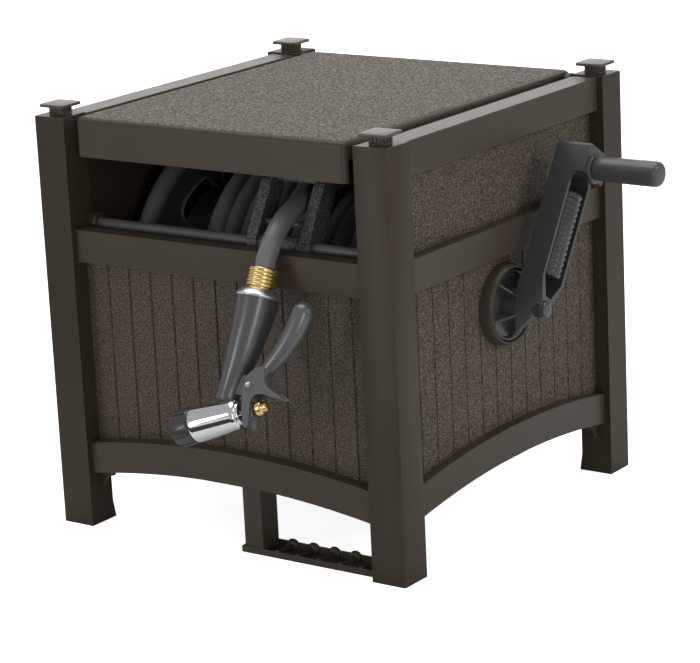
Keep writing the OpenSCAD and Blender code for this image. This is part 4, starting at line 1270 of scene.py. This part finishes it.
def model_spray_ring():
    """Black ring in ten wide lobes with narrow grooves between them, and a dished face."""
    lobes = 10
    profile = [(12.1, 64.3), (19.6, 64.3), (21, 64.8), (22, 67), (22.2, 76), (21.9, 84.4), (20.9, 87.6),
               (19.2, 89), (15.2, 89), (13.2, 85.4), (2.2, 85.2), (2.2, 77), (12.1, 77), (12.1, 64.3)]
    ring = turned("spray_ring_black", profile, 80)
    for i in range(lobes):
        groove = block("groove", (68, -1.2, 20.4), (92, 1.2, 26))
        carve(ring, place(groove, rolled((i + 0.3) * 360 / lobes - 90, "X")))
    return soften(place(ring, barrel_frame()), 0.5, 2, 32)


def model_trigger():
    """Soft trigger: a fat rounded lever on two cheeks, a hooked guard and the yoke behind the barrel."""
    lever = lever_along([(33, -112.5, 8.6), (44.6, -97, 10.2), (56.5, -75, 12.3), (63.5, -54, 13.4),
                         (65.5, -44, 13.2)])
    cheek = [(12, -127), (15, -121.5), (19.4, -116.5), (25, -112.5), (31.9, -110.3), (36, -113), (38, -124),
             (43.3, -131.5), (49.6, -135.6), (58.5, -138.6), (66, -142.2), (66, -143.8), (54, -143.4),
             (40, -141.4), (31, -143), (27, -147), (25.2, -152.5), (27, -161.4), (28.3, -172.8), (28.8, -179),
             (26, -182), (22.5, -180), (19.5, -171), (15, -160), (14.4, -151.6), (10.7, -142.9),
             (11.2, -133.6)]
    web = [(27.5, -121), (33, -104), (40, -106), (37, -122), (43, -131.5), (51, -136.5), (62, -142),
           (51, -143), (40, -141.2), (33, -140.3), (28.5, -141.5), (27, -135)]
    flats = []
    for name, outline, z, thick in (("cheek", cheek, CHEEK_IN, CHEEK_THICK),
                                    ("cheek", cheek, -CHEEK_IN - CHEEK_THICK, CHEEK_THICK),
                                    ("guard", web, -WEB_HALF, 2 * WEB_HALF)):
        flats.append(soften(plate(name, [(x, y, z) for x, y in outline], (0, 0, thick)), 1.1, 3, 25))
    yoke = soften(block("yoke", (-17, -9, -WEB_HALF), (-12, 9, WEB_HALF)), 0.8)
    place(yoke, nozzle_frame().inverted() @ barrel_frame())
    return place(join("soft_trigger", *flats, yoke, lever), nozzle_frame())


def dome(centre, along, radius, angles):
    """Shrinking rings (centre, axis, radius) that round off an end of a lever."""
    turns = [math.radians(a) for a in angles]
    return [(centre + along * radius * math.sin(t), along, radius * math.cos(t)) for t in turns]


def lever_along(path):
    """Round lever with domed ends, skinned over circles along a path of (x, y, radius)."""
    points = [Vector((x, y, 0)) for x, y, r in path]
    radii = [r for x, y, r in path]
    first = (points[1] - points[0]).normalized()
    last = (points[-1] - points[-2]).normalized()
    rings = dome(points[0], first, radii[0], (-75, -50, -25))
    for i, point in enumerate(points):
        before = points[max(i - 1, 0)]
        after = points[min(i + 1, len(points) - 1)]
        rings.append((point, (after - before).normalized(), radii[i]))
    rings += dome(points[-1], last, radii[-1], (25, 50, 75))
    circles = []
    for centre, along, radius in rings:
        turn = Matrix.Rotation(math.atan2(along.y, along.x), 4, "Z") @ rolled(90, "Y")
        circles.append(circle(24, radius, Matrix.Translation(centre * MM) @ turn))
    return skin_over("lever", circles, 1)


def model_knob():
    """Brass adjusting knob: a rounded drum with a slotted face, and its stem nut."""
    profile = [(0, -34.2), (3.8, -34.2), (4.9, -33.5), (5.2, -32.4), (5.2, -28.8), (6.8, -28.5), (8.2, -27.5),
               (8.6, -25.9), (8.6, -21.6), (7.8, -20), (6, -19), (4.5, -18), (3.1, -18), (3.1, -30), (0, -30)]
    knob = turned("brass_knob", profile, 48)
    carve(knob, block("slot", (-36, -0.8, -7), (-33, 0.8, 7)))
    return soften(place(knob, barrel_frame()), 0.3, 2, 28)


def model_stem():
    return smooth_by_angle(place(cylinder("valve_stem_rod", 3, -29.9, 30, 32), barrel_frame()))


def model_trigger_pin():
    """Pin with a domed head and a punched dimple at each end."""
    head = 10.75
    profile = [(0, -head - 1), (0.9, -head - 1.3), (2.6, -head - 1.6), (3.6, -head - 1.1), (4, -head - 0.2),
               (4, -head), (2.6, -head)]
    profile += [(r, -x) for r, x in reversed(profile)]
    pin = turned("trigger_pin_steel", profile, 32)
    return smooth_by_angle(place(pin, nozzle_frame() @ moved(PIVOT_X, PIVOT_Y, 0) @ rolled(90, "Y")), 30)


def model_nozzle():
    seat(model_coupling(), "guide", BRASS, "brass", "hose_coupling")
    seat(model_collar(), "guide", SATIN_CHROME, "chrome", "nozzle_collar")
    seat(model_handle(), "guide", SOFT_GRIP, "rubber_grip", "nozzle_handle")
    seat(model_barrel(), "guide", CHROME, "chrome", "nozzle_barrel")
    seat(model_trigger_pin(), "guide", STEEL, "steel", "trigger_pin")
    seat(model_spray_ring(), "spray_ring", CRANK_BLACK, "black_resin", "spray_ring")
    seat(model_trigger(), "trigger", TRIGGER_GREY, "rubber_grip", "nozzle_trigger")
    seat(model_knob(), "valve", BRASS, "brass", "flow_knob")
    seat(model_stem(), "valve", STEEL, "steel", "valve_stem")


make_camera()
make_world()
make_floor()
make_dark_card()
make_light("top_softbox", (-0.3, 0.2, 2.6), (0, 0, 0.3), (2.6, 2.4), 45)
make_light("back_softbox", (-1.9, 2.7, 1.35), (0, 0, 0.5), (3.6, 1.9), 34)
make_light("right_softbox", (3.0, 1.0, 1.9), (0, 0, 0.3), (0.9, 1.1), 26)
make_light("left_strip", (-1.1, -2.9, 0.6), (0, 0, 0.35), (0.34, 1.1), 11)
make_light("front_strip", (2.4, -2.2, 0.9), (0, 0, 0.3), (0.28, 1.5), 12)
bpy.context.scene.view_settings.view_transform = "Standard"

for node, finish in NODE_FINISH.items():
    paint(nodes[node], finish)
wind_hose()
hang_strand()
model_corners()
for side in ("front", "right", "rear", "left"):
    model_wall(side)
model_lid()
model_step()
model_rod()
model_guide()
model_flanges()
model_bearing_ring()
model_crank()
model_nozzle()
